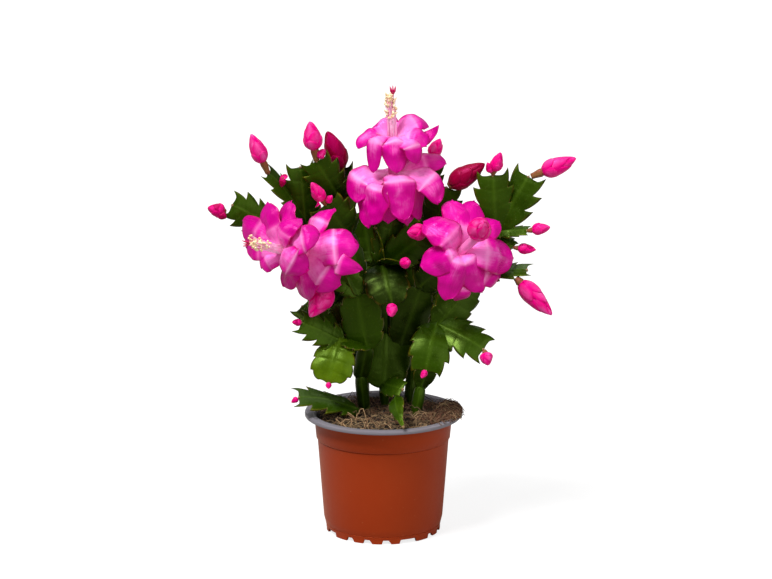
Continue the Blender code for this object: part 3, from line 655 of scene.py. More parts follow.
@dataclass(frozen=True)
class PetalFinish(Finish):
    """Silky petals: pale from the throat to the crest, deep at the tips and margins, with fine veins. The
    pale zone is partly the petals' own colour and partly painted light: a painted highlight lies along the
    crest, and the blade past the crest is painted deeper as its shade. A faint emission is a painted glow
    that keeps shaded parts bright pink.
    """

    # Pale throat and tube colour, which the painted highlight along the crest takes too
    throat: Rgb = (250, 168, 222)
    pale: Rgb = (244, 126, 208)
    full: Rgb = (214, 0, 150)
    deep: Rgb = (186, 0, 128)
    lip: Rgb = (168, 0, 76)
    gleam: Rgb = (255, 118, 198)
    # Painted glow: a faint emission that keeps the petals' shaded parts bright and saturated
    glow: Rgb = (255, 0, 150)

    def dress(self, graph: Graph) -> None:
        """Join the petals' own nodes to the shader.

        Args:
            graph: The material's graph.
        """
        tone, kind = graph.mark("tint")
        _, along = graph.mark("span")
        inner = graph.group(MARGIN, Width=0.8, Rib=0.5)["Edge"]
        outer = graph.group(MARGIN, Width=0.2, Rib=0.5)["Edge"]
        cloud = graph.group(MOTTLE, Scale=85.0, Contrast=3.0)[0]
        veins = graph.group(STREAKS, Count=30.0)[0]
        # Deeper past the crest: partly the petals' own colour, partly painted shade on the blade that hangs
        # below the crest
        below = graph.spread(along, CREST - 0.1, CREST + 0.14)
        level = graph.grow(below, 0.45, graph.grow(tone, 0.5, -0.16))
        level = graph.grow(graph.spread(along, 0.65, 1.0), 0.22, level)
        level = graph.grow(inner, 0.56, level)
        level = graph.grow(cloud, 0.44, graph.math("SUBTRACT", level, 0.22))
        level = graph.grow(veins, 0.15, graph.math("SUBTRACT", level, 0.075), clamp=True)
        blush = graph.mix(graph.spread(level, 0.0, 0.6), self.pale, self.full)
        rich = graph.mix(graph.spread(level, 0.45, 1.0), blush, self.deep)
        rimmed = graph.mix(graph.times(outer, 0.95), rich, self.lip)
        # Pale near the throat and wherever the kind mark is set: the tube's own pale colour, and a painted
        # highlight along each petal's crest
        throat = graph.math("MAXIMUM", graph.spread(along, 0.0, 0.22, 0.75, 0.0), kind)
        relief = graph.group(GRAIN, Scale=900.0, Swell=2.0)[0]
        graph.finish(
            Base_Color=graph.mix(throat, rimmed, self.throat),
            Roughness=graph.grow(veins, 0.12, self.roughness - 0.06),
            Normal=graph.bump(graph.grow(veins, 0.9, graph.times(relief, 0.35)), 0.16, 0.4),
            Specular_IOR_Level=0.65,
            Specular_Tint=self.gleam,
            # A faint painted glow that keeps shaded parts bright pink
            Emission_Color=self.glow,
            Emission_Strength=0.07,
        )


@dataclass(frozen=True)
class BudFinish(Finish):
    """Waxy buds: crimson to bright pink tepals with pale flanks and dark lips, on a brown-green foot. The
    pale flanks are partly the tepals' own colour and partly a painted highlight on their bulge.
    """

    dark: Rgb = (134, 0, 38)
    full: Rgb = (240, 0, 132)
    # Pale flank colour: partly the tepals' own colour, partly a painted highlight on their bulge
    pale: Rgb = (250, 104, 186)
    lip: Rgb = (158, 0, 72)
    foot: Rgb = (140, 84, 52)
    foot_green: Rgb = (108, 104, 48)
    gleam: Rgb = (255, 84, 176)

    def dress(self, graph: Graph) -> None:
        """Join the buds' own nodes to the shader.

        Args:
            graph: The material's graph.
        """
        tone, kind = graph.mark("tint")
        _, along = graph.mark("span")
        flank = graph.group(MARGIN, Width=0.75, Rib=0.7)["Middle"]
        edge = graph.group(MARGIN, Width=0.16, Rib=0.5)["Edge"]
        cloud = graph.group(MOTTLE, Scale=190.0, Contrast=3.2)[0]
        veins = graph.group(STREAKS, Count=20.0)[0]
        body = graph.mix(graph.spread(tone, 0.05, 0.6), self.dark, self.full)
        # The paler middle of each tepal: partly its own colour, partly a painted highlight on its bulge
        light = graph.times(flank, graph.spread(tone, 0.3, 1.0))
        light = graph.times(light, graph.grow(cloud, 0.9, 0.15))
        lit = graph.mix(graph.times(light, graph.spread(along, 0.0, 0.35)), body, self.pale)
        veined = graph.mix(graph.times(veins, 0.22), lit, self.lip)
        lipped = graph.mix(graph.times(edge, graph.grow(tone, 0.5, 0.4)), veined, self.lip)
        ground = graph.mix(graph.times(cloud, veins), self.foot, self.foot_green)
        relief = graph.group(GRAIN, Scale=900.0, Swell=2.0)[0]
        graph.finish(
            Base_Color=graph.mix(kind, lipped, ground),
            Roughness=graph.grow(veins, 0.16, self.roughness - 0.08),
            Normal=graph.bump(graph.grow(veins, 0.8, relief), 0.14, 0.4),
            Specular_IOR_Level=0.45,
            Specular_Tint=self.gleam,
        )


@dataclass(frozen=True)
class ThreadFinish(Finish):
    """Threads and small soft parts whose colour runs between two by their tone. A faint glow, where one is
    given, is painted light that lifts the shade among dense threads.
    """

    dark: Rgb = (90, 60, 30)
    light: Rgb = (200, 170, 120)
    spot: Rgb = (60, 35, 20)
    depth: float = 0.15
    # A faint painted glow that lifts the shade among dense threads
    glow: float = 0.0

    def dress(self, graph: Graph) -> None:
        """Join the threads' own nodes to the shader.

        Args:
            graph: The material's graph.
        """
        tone, kind = graph.mark("tint")
        cloud = graph.group(MOTTLE, Scale=420.0, Contrast=3.0)[0]
        level = graph.grow(cloud, 0.3, graph.math("SUBTRACT", tone, 0.15), clamp=True)
        relief = graph.group(GRAIN, Scale=2400.0, Swell=1.0)[0]
        graph.finish(
            Base_Color=graph.mix(kind, graph.mix(level, self.dark, self.light), self.spot),
            Normal=graph.bump(relief, self.depth, 0.6),
            # The painted glow, in the light colour
            Emission_Color=self.light,
            Emission_Strength=self.glow,
        )


@dataclass(frozen=True)
class SoilFinish(Finish):
    """Dark peat with tan shreds and pale grains."""

    dark: Rgb = (12, 8, 4)
    mid: Rgb = (44, 30, 17)
    straw: Rgb = (112, 86, 56)

    def dress(self, graph: Graph) -> None:
        """Join the peat's own nodes to the shader.

        Args:
            graph: The material's graph.
        """
        patches = graph.group(MOTTLE, Scale=130.0, Contrast=3.4)[0]
        crumbs = graph.group(MOTTLE, Scale=900.0, Contrast=4.0)[0]
        grains = graph.group(SPECKS, Scale=700.0, Share=0.18)[0]
        earth = graph.mix(graph.times(patches, crumbs), self.dark, self.mid)
        relief = graph.group(GRAIN, Scale=1100.0, Swell=2.0)[0]
        colour = graph.mix(graph.times(grains, 0.6), earth, self.straw)
        graph.finish(Base_Color=colour, Normal=graph.bump(relief, 1.2, 0.9))


@dataclass(frozen=True)
class PlasticFinish(Finish):
    """Moulded pot plastic: even colour with faint clouds, dust and fine relief."""

    colour: Rgb = (150, 48, 15)
    worn: Rgb = (160, 60, 26)
    dust: Rgb = (178, 104, 72)
    gleam: Rgb = (255, 170, 120)

    def dress(self, graph: Graph) -> None:
        """Join the plastic's own nodes to the shader.

        Args:
            graph: The material's graph.
        """
        cloud = graph.group(MOTTLE, Scale=34.0, Contrast=1.8)[0]
        base = graph.mix(graph.times(cloud, 0.35), self.colour, self.worn)
        dots = graph.group(SPECKS, Scale=520.0, Share=0.05)[0]
        fine = graph.group(MOTTLE, Scale=500.0, Contrast=2.0)[0]
        relief = graph.group(GRAIN, Scale=2600.0, Swell=1.5)[0]
        graph.finish(
            Base_Color=graph.mix(graph.times(dots, 0.4), base, self.dust),
            Roughness=graph.grow(fine, 0.1, self.roughness - 0.05),
            Normal=graph.bump(relief, 0.05, 0.35),
            Specular_Tint=self.gleam,
            Sheen_Weight=0.22,
            Sheen_Roughness=0.3,
            Sheen_Tint=self.gleam,
        )


@dataclass(frozen=True)
class FloorFinish(Finish):
    """The white floor: it glows so that shadows on it stay faint, and throws little light back."""

    colour: Rgb = (140, 140, 140)
    cloudy: Rgb = (136, 136, 136)
    returned: Rgb = (150, 146, 142)
    glow: float = 0.8

    def dress(self, graph: Graph) -> None:
        """Join the floor's own nodes to the shader.

        Args:
            graph: The material's graph.
        """
        seen = graph.add("LightPath").outputs["Is Camera Ray"]
        pale = graph.mix(graph.group(MOTTLE, Scale=3.0, Contrast=1.0)[0], self.colour, self.cloudy)
        graph.finish(
            Base_Color=graph.mix(seen, self.returned, pale),
            Emission_Color=graph.mix(seen, BLACK, WHITE),
            Emission_Strength=self.glow,
        )


LEAF = LeafFinish("waxy_leaf", 0.32)
PETAL = PetalFinish("silky_petal", 0.31)
BUD = BudFinish("waxy_bud", 0.36)
AREOLE = ThreadFinish("areole_bristle", 0.8, (96, 66, 36), (196, 168, 118), (70, 44, 24), 0.2)
# The filaments and anthers glow faintly: painted light that lifts the shade in their dense bundles
FILAMENT = ThreadFinish("pale_filament", 0.45, (240, 84, 176), (255, 212, 238), (250, 190, 226), 0.05, 0.1)
ANTHER = ThreadFinish("creamy_anther", 0.75, (240, 196, 140), (255, 238, 200), (204, 160, 104), 0.25, 0.05)
STYLE = ThreadFinish("rose_style", 0.35, (196, 0, 84), (232, 40, 140), (180, 0, 80), 0.05)
PEAT = SoilFinish("fibrous_peat", 0.95)
FIBRE = ThreadFinish("dry_fibre", 0.9, (22, 14, 8), (190, 156, 112), (96, 54, 34), 0.15)
TERRACOTTA = PlasticFinish("terracotta_plastic_skin", 0.4)
GREY = PlasticFinish("grey_plastic_skin", 0.34, (118, 114, 122), (136, 132, 140), (170, 166, 170), WHITE)
FLOOR = FloorFinish("pale_floor", 0.9)


# ---- leafy plants


@dataclass(frozen=True)
class Segment:
    """One flat toothed segment.

    Attributes:
        name: Its name.
        parent: The segment that carries it.
        tip: Where its tip is.
        width: Its width.
        tone: How light its green is. This is partly its own green and partly painted shade, as on the centre
            plant's hanging segment, which hangs under the blooms.
        facing: The direction that its face looks.
        arch: How far its middle stands out, as a share of its length.
        claw: How long its teeth are against the usual.
        stout: The thickness of a woody stem in its middle, or 0 for a leafy one.
        start: Where it starts, if that isn't its parent's tip.
        taper: How far it narrows towards its tip.
    """

    name: str
    parent: str
    tip: Point
    width: float
    tone: float
    facing: Point = FRONT
    arch: float = 0.05
    claw: float = 1.0
    stout: float = 0.0
    start: Optional[Point] = None
    taper: float = 0.0


# How far a segment's neck sinks into its parent, and half its thickness at the edge and in the middle
NECK_SINK = 2.4
EDGE_HALF = 0.42
BODY_HALF = 1.0
# One edge's neck as (share of length, share of width), and the thinnest that it may be
NECK = ((0, 0.1), (0.11, 0.25))
NECK_HALF = 2.0
# Teeth as (share of length, share of width)
TEETH = ((0.28, 0.44), (0.55, 0.5), (0.81, 0.49), (1.08, 0.37))
# The outline of a woody stem as (share of length, share of width), and how many rungs draw it
STEM = ((0, 0.28), (0.1, 0.4), (0.5, 0.44), (0.88, 0.41), (1, 0.27))
STEM_RUNGS = 44
# Where the notches' veins leave the rib, as shares of the length
VEINS = (0.25, 0.5, 0.75, 0.94)
# How many points draw the neck, a tooth's rise, its fall and the tip, and the rungs of the three notches
NECK_POINTS, RISE_POINTS, FALL_POINTS, TIP_POINTS = 4, 8, 5, 6
NOTCH_RUNGS = (17, 30, 43)
# Where the segment ends in the middle, as shares of the length and of the width
SEGMENT_END = (1.005, 0.06)
# How far across from rib to edge the columns of points lie. Beyond BASE they lie in the teeth
COLUMNS = (0.06, 0.14, 0.27, 0.44, 0.6, 0.74, 0.86, 0.91, 0.96)
BASE = 0.86


@dataclass(frozen=True)
class Rung:
    """One line of points from rib to edge, as shares of the length and of the width."""

    rib: float
    base: Pair
    edge: Pair
    vein: float = 0.0

    def at(self, t: float) -> Pair:
        """The point at a share of the way from rib to edge."""
        if t <= BASE:
            return between((self.rib, 0.0), self.base, t / BASE)
        return between(self.base, self.edge, (t - BASE) / (1 - BASE))


class SegmentForm:
    """The shape of one segment, as its solid has it, with finer edges, rib, veins and waves."""

    def __init__(self, plant: str, segment: Segment, start: Sequence[float]) -> None:
        """Work out a segment's frame and edges.

        Args:
            plant: The name of the plant that it is part of.
            segment: The segment.
            start: Where its parent's tip is.
        """
        chance = random.Random(f"{plant} {segment.name}")
        self.segment = segment
        along = (Vector(segment.tip) - Vector(start)).normalized()
        self.start = Vector(start) - along * NECK_SINK
        self.length = (Vector(segment.tip) - self.start).length
        normal = square_to(along, segment.facing)
        self.axes = Axes(along, along.cross(normal), normal)
        self.cup = chance.uniform(0.02, 0.07) * segment.width
        self.twist = chance.uniform(-0.06, 0.06) * segment.width
        self.rungs = {hand: self.edge(chance) for hand in Side}
        self.phase = chance.uniform(0, 6.28)
        self.wave = chance.uniform(0.012, 0.03) * segment.width
        self.tone = limited(segment.tone + chance.uniform(-0.06, 0.06))

    def edge(self, chance: random.Random) -> list[Rung]:
        """Draw one edge from neck to tip, with its teeth.

        Args:
            chance: The segment's own random numbers.

        Returns:
            The lines of points that end on it.
        """
        for _ in range(3):  # Draws that nothing uses. They keep all later ones in their places
            chance.random()
        teeth = [(u + chance.uniform(-0.02, 0.02), v + chance.uniform(-0.03, 0.01)) for u, v in TEETH]
        if self.segment.stout:
            shares = [k / (STEM_RUNGS - 1) for k in range(STEM_RUNGS)]
            return [self.plain(share, (share, through(STEM, share))) for share in shares]
        claw = self.segment.claw
        blunt = 1 - smooth(0.3, 0.8, claw)
        teeth[2] = (teeth[2][0], teeth[2][1] - 0.03 * blunt)
        teeth[3] = (teeth[3][0] - 0.04 * blunt, teeth[3][1] - 0.08 * blunt)
        foot, neck = ((u, max(v, NECK_HALF / self.segment.width)) for u, v in NECK)
        neck = (neck[0], neck[1] + 0.05 * blunt)
        here = self.plain(neck[0], neck)
        curve = self.bend(foot, neck, 0.03, NECK_POINTS)
        rungs = [self.plain(neck[0] * k / NECK_POINTS, point) for k, point in enumerate(curve)]
        for index, tooth in enumerate(teeth):
            tip, notch = self.tooth(index, *tooth)
            after = self.plain(VEINS[index] + 0.025, notch, 1.0)
            swell = 0.045 + 0.012 * min(claw, 1) + 0.02 * blunt
            points = self.bend(here.edge, tip, swell, RISE_POINTS)
            points += self.bend(tip, notch, -0.012, FALL_POINTS)
            for k, point in enumerate(points):
                fall = 0.7 + 0.3 * (k - RISE_POINTS) / FALL_POINTS
                share = k / RISE_POINTS * 0.7 if k < RISE_POINTS else fall
                vein = math.exp(-((min(k, len(points) - k) / 1.5) ** 2))
                rib = here.rib + (after.rib - here.rib) * share
                rungs.append(Rung(rib, between(here.base, after.base, share), point, vein))
            here = after
        for k, point in enumerate(self.bend(here.edge, SEGMENT_END, -0.01, TIP_POINTS)):
            rungs.append(self.plain(here.rib + (1 - here.rib) * k / TIP_POINTS, point))
        return [*rungs, self.plain(1.0, SEGMENT_END)]

    def tooth(self, index: int, u: float, v: float) -> tuple[Pair, Pair]:
        """Shape one tooth.

        Args:
            index: Which tooth it is, from the neck.
            u: Where it stands, as a share of the length.
            v: How far out it stands, as a share of the width.

        Returns:
            Its tip, and the notch after it.
        """
        claw = self.segment.claw
        if index < len(TEETH) - 1:
            notch = (u + 0.012, v - 0.02 - 0.088 * claw + 0.01 * (1 - index))
            return (u + 0.034 * claw, v + 0.02 * claw), notch
        grown = max(claw - 1, 0)
        tip = (u - 0.07 * max(1 - claw, 0) + 0.06 * grown, v - 0.07 * max(0.8 - claw, 0) + 0.03 * grown)
        end = SEGMENT_END[0]
        return tip, (end if claw > 0.8 else min(tip[0] - 0.008, end), tip[1] * 0.66)

    @staticmethod
    def plain(rib: float, edge: Pair, vein: float = 0.0) -> Rung:
        """A rung whose base lies on the straight line from rib to edge."""
        return Rung(rib, (rib + (edge[0] - rib) * BASE, edge[1] * BASE), edge, vein)

    @staticmethod
    def bend(first: Pair, last: Pair, swell: float, count: int) -> list[Pair]:
        """Draw a bent line that swells outwards.

        Args:
            first: Where it starts.
            last: Where it ends.
            swell: How far it swells.
            count: How many points it has.

        Returns:
            Its points without the last one.
        """
        du = last[0] - first[0]
        dv = last[1] - first[1]
        size = max(math.hypot(du, dv), 1e-6)
        pull = ((first[0] + last[0]) / 2 - dv / size * swell, (first[1] + last[1]) / 2 + du / size * swell)
        return [
            tuple((1 - t) ** 2 * a + 2 * t * (1 - t) * p + t * t * b for a, p, b in zip(first, pull, last))
            for t in (k / count for k in range(count))
        ]

    def place(self, u: float, v: float, out: float) -> Vector:
        """Put a point of the flat segment in space.

        Args:
            u: Share of the length.
            v: Share of the width, signed.
            out: Height over the middle surface.

        Returns:
            The point.
        """
        width = self.segment.width
        v *= 1 - self.segment.taper * smooth(0.3, 1.05, u)
        swell = math.sin(math.pi * limited(u))
        arch = self.segment.arch * self.length
        lift = arch * 4 * u * (1 - u) + swell * (self.twist * 2 * v - self.cup * (2 * v) ** 2)
        if not self.segment.stout:
            far = min(abs(2 * v), 1)
            ruffle = math.sin(u * 9.5 + self.phase + (1.9 if v > 0 else 0)) * self.wave
            lift += ruffle * far * far * smooth(0.1, 0.5, u)
            lift += 0.03 * width * math.sin(math.pi * far) * smooth(0.05, 0.3, u) * (1.1 - u * 0.6)
        flat = self.start + self.axes.along * (u * self.length) + self.axes.first * (v * width)
        lump = noise.noise(flat * 0.09) * 0.6 * swell
        return flat + self.axes.second * (lift + lump + out)

    def thickness(self, u: float, across: float, v: float) -> float:
        """Give half the thickness: full at the rib, thin at the edge and rounded at both ends.

        Args:
            u: Share of the length.
            across: Share of the way from rib to edge.
            v: Share of the width, signed.

        Returns:
            Half the thickness there.
        """
        if self.segment.stout:
            return self.segment.stout / 2 * math.sqrt(max(1 - across**2.4, 0.0)) + 0.1
        body = EDGE_HALF + (BODY_HALF - EDGE_HALF) * (1 - across**1.6)
        ridge = 0.5 * math.exp(-((v * self.segment.width / 0.85) ** 2)) * (1.15 - 0.75 * u)
        end = 1 - 0.55 * smooth(0.93, 1.0, u)
        neck = 1 + 0.5 * (1 - smooth(0.0, 0.22, u))
        return (body + ridge) * end * neck

    def add_to(self, draft: MeshDraft) -> None:
        """Add the segment as one closed skin.

        Args:
            draft: The piece that it joins.
        """
        tint = (self.tone, 0.0)
        ribs = []
        for rung in self.rungs[Side.LEFT]:
            half = self.thickness(rung.rib, 0, 0)
            places = [self.place(rung.rib, 0, out) for out in (half, -half)]
            ribs.append([draft.point(place, (0.5, rung.rib), tint) for place in places])
        for hand in Side:
            sheets = ([], [])
            for rung, rib in zip(self.rungs[hand], ribs):
                rows = [[number] for number in rib]
                for t in COLUMNS:
                    u, v = rung.at(t)
                    v *= hand.value
                    half = self.thickness(u, t, v) - rung.vein * 0.17 * math.sin(math.pi * t)
                    for row, out in zip(rows, (half, -half)):
                        row.append(draft.point(self.place(u, v, out), (0.5 + 0.5 * t * hand.value, u), tint))
                u, v = rung.edge
                rim = draft.point(self.place(u, v * hand.value, 0), (0.5 + 0.5 * hand.value, u), tint)
                for sheet, row in zip(sheets, rows):
                    sheet.append([*row, rim])
            for sheet in sheets:
                draft.loft(sheet, closed=False)
            for end in (0, -1):
                top, under = (sheet[end] for sheet in sheets)
                for a, b, c, d in zip(top, top[1:], under[1:], under):
                    draft.face((a, b, d) if b == c else (a, b, c, d))

    def areoles(self) -> list[tuple[Vector, Vector, float]]:
        """Find where the bristly pads sit: the tip and the notches.

        Returns:
            Each as (place, direction, size).
        """
        found = [(self.place(1, 0, 0), self.axes.along, 1.2)]
        if self.segment.stout:
            return found
        for hand in Side:
            direction = (self.axes.along + self.axes.first * (hand.value * 1.2)).normalized()
            for index in NOTCH_RUNGS:
                u, v = self.rungs[hand][index].edge
                found.append((self.place(u, (v - 0.012) * hand.value, 0), direction, 0.45))
        return found


@dataclass(frozen=True)
class LeafyPlant:
    """One rooted plant: where its root stands, how thick it is and what grows from it."""

    name: str
    root: Pair
    radius: float
    segments: tuple[Segment, ...]
    root_top: float = 83.0
    # The root below the lowest segment as (height, share of the radius)
    root_form: tuple[Pair, ...] = (
        (72, 0.9), (76, 0.98), (79.5, 1), (82, 0.97), (84, 0.85), (85.5, 0.5),
    )

    def forms(self) -> list[SegmentForm]:
        """Shape all the segments.

        Returns:
            Their shapes, in order.
        """
        tips: dict[str, Sequence[float]] = {"root": (*self.root, self.root_top)}
        tips.update((segment.name, segment.tip) for segment in self.segments)
        return [SegmentForm(self.name, part, part.start or tips[part.parent]) for part in self.segments]

    def build(self) -> None:
        """Make the plant and its areoles."""
        draft = MeshDraft()
        path = [Vector((*self.root, z)) for z, _ in self.root_form]
        draft.tube(path, [self.radius * share for _, share in self.root_form], 20, (0.25, 0.35))
        pads = MeshDraft()
        chance = random.Random(self.name)
        for form in self.forms():
            form.add_to(draft)
            for place, direction, size in form.areoles():
                self.add_areole(pads, place, direction, size, chance)
        draft.build(f"{self.name}_skin", [LEAF], Slot.LEAF, [self.name])
        pads.build(f"{self.name}_areoles", [AREOLE], Slot.LEAF)

    @staticmethod
    def add_areole(draft: MeshDraft, place: Vector, way: Vector, size: float, chance: random.Random) -> None:
        """Add a felted pad with its bristles.

        Args:
            draft: The piece that it joins.
            place: The pad's middle.
            way: Where its bristles point.
            size: The pad's radius.
            chance: Random numbers.
        """
        large = size > 1
        pad = [place - way * size * 0.6, place, place + way * size * 0.35, place + way * size * 0.5]
        draft.tube(pad, [size * 0.7, size, size * 0.7, size * 0.2], 7, (chance.uniform(0.1, 0.5), 0))
        for _ in range(9 if large else 4):
            swing = Vector([chance.uniform(-0.8, 0.8) for _ in range(3)])
            out = (way + swing).normalized()
            length = chance.uniform(0.8, 1.9) * (1 if large else 0.75)
            base = place + swing * size * 0.5
            path = [base, base + out * length * 0.55, base + out * length + Vector((0, 0, -0.15 * length))]
            draft.tube(path, [0.07, 0.055, 0.02], 3, (chance.uniform(0.4, 1), 0))


PLANTS = (
    LeafyPlant("left_plant", (-13, 10), 4.4, (
        Segment("stem_low", "root", (-15, 5, 105), 10, 0.22, stout=8.4),
        Segment("stem_high", "stem_low", (-11, -5, 127), 13, 0.2, stout=5.6),
        Segment("middle", "stem_high", (-17, -9, 164), 30, 0.42, (-0.2, -1, 0.2), claw=0.25),
        Segment("shelf", "stem_high", (-29, -7, 131), 22, 0.5, (0, -0.3, 1), claw=0.4),
        Segment("hanging", "shelf", (-36, -21, 106), 29, 0.72, (-0.1, -1, 0.5), 0.12, claw=0.3),
        Segment("outer_front", "shelf", (-54, -13, 145), 22, 0.45, (0.2, -1, 0.5), claw=1.8),
        Segment("outer_back", "shelf", (-54, 8, 151), 22, 0.3, (0.3, -1, 0.3), claw=1.3),
        Segment("back_low", "stem_high", (-33, 15, 153), 25, 0.2, (0.2, -1, 0.1), claw=0.6),
        Segment("bloom_holder", "middle", (-36, -4, 187), 22, 0.3, (0.2, -1, -0.1), claw=0.6),
        Segment("back_mid", "back_low", (-19, 16, 182), 22, 0.2, (0.6, -1, 0), claw=0.6),
        Segment("bud_holder", "middle", (-32, -9, 173), 13, 0.4, (0, -1, 0.6)),
        Segment("trunk", "middle", (-24, 13, 199), 22, 0.3, (0.9, -1, 0.2), claw=0.6),
        Segment("heart", "trunk", (-38, 3, 221), 31, 0.26, (0.1, -1, 0.1), claw=1.0),
        Segment("reach", "trunk", (-52, 22, 205), 24, 0.25, (0, -1, 0.6)),
        Segment("crown_left", "reach", (-55, 20, 243), 24, 0.3, (0.2, -1, 0), claw=1.5),
        Segment("arm", "reach", (-72, 20, 202), 15, 0.3, (0, -1, 0.5)),
        Segment("wing", "arm", (-100, 12, 219), 25, 0.45, (0.1, -1, 0.2), claw=1.6),
        Segment("edge_on", "reach", (-76, 12, 240), 20, 0.4, (0.9, -0.5, 0.3), claw=1.3),
        Segment("crown_stalk", "trunk", (-30, 18, 224), 20, 0.2, (0.4, -1, 0)),
        Segment("crown_mid", "crown_stalk", (-44, 9, 249), 27, 0.33, (0, -1, -0.1), claw=1.5),
        Segment("crown_right", "trunk", (-27, 32, 240), 23, 0.2, (-0.7, -1, 0), claw=1.2),
    )),
    LeafyPlant("centre_plant", (1, 16), 2.4, (
        Segment("stem", "root", (0, 9, 97), 7, 0.4, stout=4.4),
        Segment("foot_leaf", "stem", (13, -8, 98), 16, 0.5, (0.2, -1, 0.4), claw=0.6),
        Segment("broad", "stem", (2, 16, 133), 37, 0.4, claw=0.15),
        Segment("trunk", "broad", (0, 8, 178), 27, 0.15, (0.2, -1, 0), claw=0.5),
        Segment("right_leaf", "trunk", (29, -4, 205), 26, 0.3, (0.3, -1, 0.1), claw=0.8),
        Segment("shelf", "trunk", (13, -17, 186), 19, 0.4, (0.2, 0.4, 1)),
        # Tone 0: painted shade under the blooms
        Segment("hanging", "trunk", (6, -22, 159), 30, 0.0, (0, -1, 0.2), 0.2, claw=0.35),
        Segment("pale_edge", "trunk", (-5, 0, 206), 15, 0.6, (1, 0.2, 0)),
        Segment("bloom_holder", "trunk", (6, 7, 213), 24, 0.3, (0.2, -1, 0)),
        Segment("right_low", "broad", (25, 8, 165), 27, 0.2, (0.1, -1, 0.1), claw=0.2, start=(12, 14, 124)),
        Segment("right_mid", "right_low", (45, -2, 185), 24, 0.2, (0.3, -1, 0.4), claw=0.5),
        Segment("back_rise", "right_low", (34, 24, 200), 24, 0.2, (0.4, -1, 0), claw=0.6),
        Segment("back_right", "back_rise", (42, 17, 230), 27, 0.36, (-0.2, -1, 0)),
        Segment("back_left", "back_rise", (33, 38, 223), 20, 0.25, (0.3, -1, 0)),
        Segment("back_top", "back_left", (32, 32, 247), 18, 0.35, (-0.2, -1, 0), claw=1.3),
    )),
    LeafyPlant("right_plant", (22, -2), 3.9, (
        Segment("stem_low", "root", (25, 0, 98), 9, 0.42, stout=6.6),
        Segment("stem_high", "stem_low", (36, 0, 140), 18, 0.3, (0.2, -1, 0), claw=0.4),
        Segment("hanging", "stem_high", (28, -24, 115), 28, 0.42, (-0.1, -1, 0.5), 0.16, claw=0.7),
        Segment("low_right", "stem_high", (66, -18, 128), 27, 0.3, (0.2, -1, 0.6), 0.1, claw=1.2),
        Segment("rise", "stem_high", (59, 8, 168), 26, 0.34, (0.1, -1, 0), claw=0.4),
        Segment("trunk", "rise", (74, 10, 199), 24, 0.3, (-0.2, -1, 0), claw=0.7),
        Segment("crown_left", "trunk", (72, 6, 240), 27, 0.36, (0.1, -1, 0), claw=1.3),
        Segment("crown_right", "trunk", (96, 12, 238), 29, 0.38, (-0.3, -1, 0), claw=1.6),
        Segment("side_high", "trunk", (95, 0, 204), 12, 0.45, (0, -0.6, 1)),
        Segment("side_low", "trunk", (86, 4, 192), 12, 0.4, (0, -1, 0.8)),
        Segment("side_edge", "rise", (95, -2, 178), 20, 0.4, (0.1, -0.4, 1), claw=1.4),
    )),
    LeafyPlant("low_plant", (-19, -6), 2.6, (
        Segment("leaf", "root", (-56, -14, 94), 27, 0.4, (0.1, -0.42, 1), 0.07, claw=1.5),
    )),
    LeafyPlant("front_plant", (9, -18), 2.2, (
        Segment("stem", "root", (9, -21, 94), 7, 0.5),
        Segment("leaf", "stem", (13, -52, 84.5), 13, 0.6, (-0.5, -0.3, 1), 0.13, claw=0.35, taper=0.75),
    )),
    LeafyPlant("back_left_plant", (-13, 29), 3.6, (
        Segment("stem", "root", (-14, 32, 106), 9, 0.3, stout=6.0),
        Segment("trunk", "stem", (-20, 40, 141), 26, 0.32, (0, 1, 0), claw=0.6),
        Segment("low_left", "stem", (-38, 44, 112), 24, 0.5, (-0.2, 1, 0.6), 0.1),
        Segment("left", "trunk", (-38, 54, 168), 27, 0.36, (-0.3, 1, 0.2)),
        Segment("right", "trunk", (-8, 56, 171), 27, 0.3, (0.3, 1, 0.2)),
        Segment("hanging_left", "left", (-44, 78, 147), 25, 0.55, (-0.4, 1, 0.5), 0.14),
        Segment("rising_left", "left", (-44, 60, 200), 25, 0.4, (0, 1, 0), claw=1.3),
        Segment("hanging_right", "right", (-6, 82, 152), 27, 0.48, (0.1, 1, 0.5), 0.15),
        Segment("rising_right", "right", (-14, 66, 204), 25, 0.36, (-0.2, 1, 0), claw=1.3),
    )),
    LeafyPlant("back_right_plant", (18, 25), 3.4, (
        Segment("stem", "root", (20, 29, 107), 9, 0.3, stout=5.6),
        Segment("trunk", "stem", (27, 40, 141), 25, 0.32, (0.2, 1, 0), claw=0.6),
        Segment("low_right", "stem", (44, 40, 118), 23, 0.52, (0.3, 1, 0.6), 0.1),
        Segment("left", "trunk", (18, 54, 170), 26, 0.34, (0, 1, 0.2)),
        Segment("right", "trunk", (50, 52, 166), 27, 0.36, (0.3, 1, 0.2)),
        Segment("hanging_right", "right", (52, 78, 147), 26, 0.52, (0.2, 1, 0.5), 0.14),
        Segment("rising_right", "right", (60, 54, 194), 24, 0.42, (0.2, 1, 0), claw=1.3),
        Segment("rising_left", "left", (24, 62, 203), 24, 0.36, (0, 1, 0), claw=1.3),
    )),
)


# ---- buds


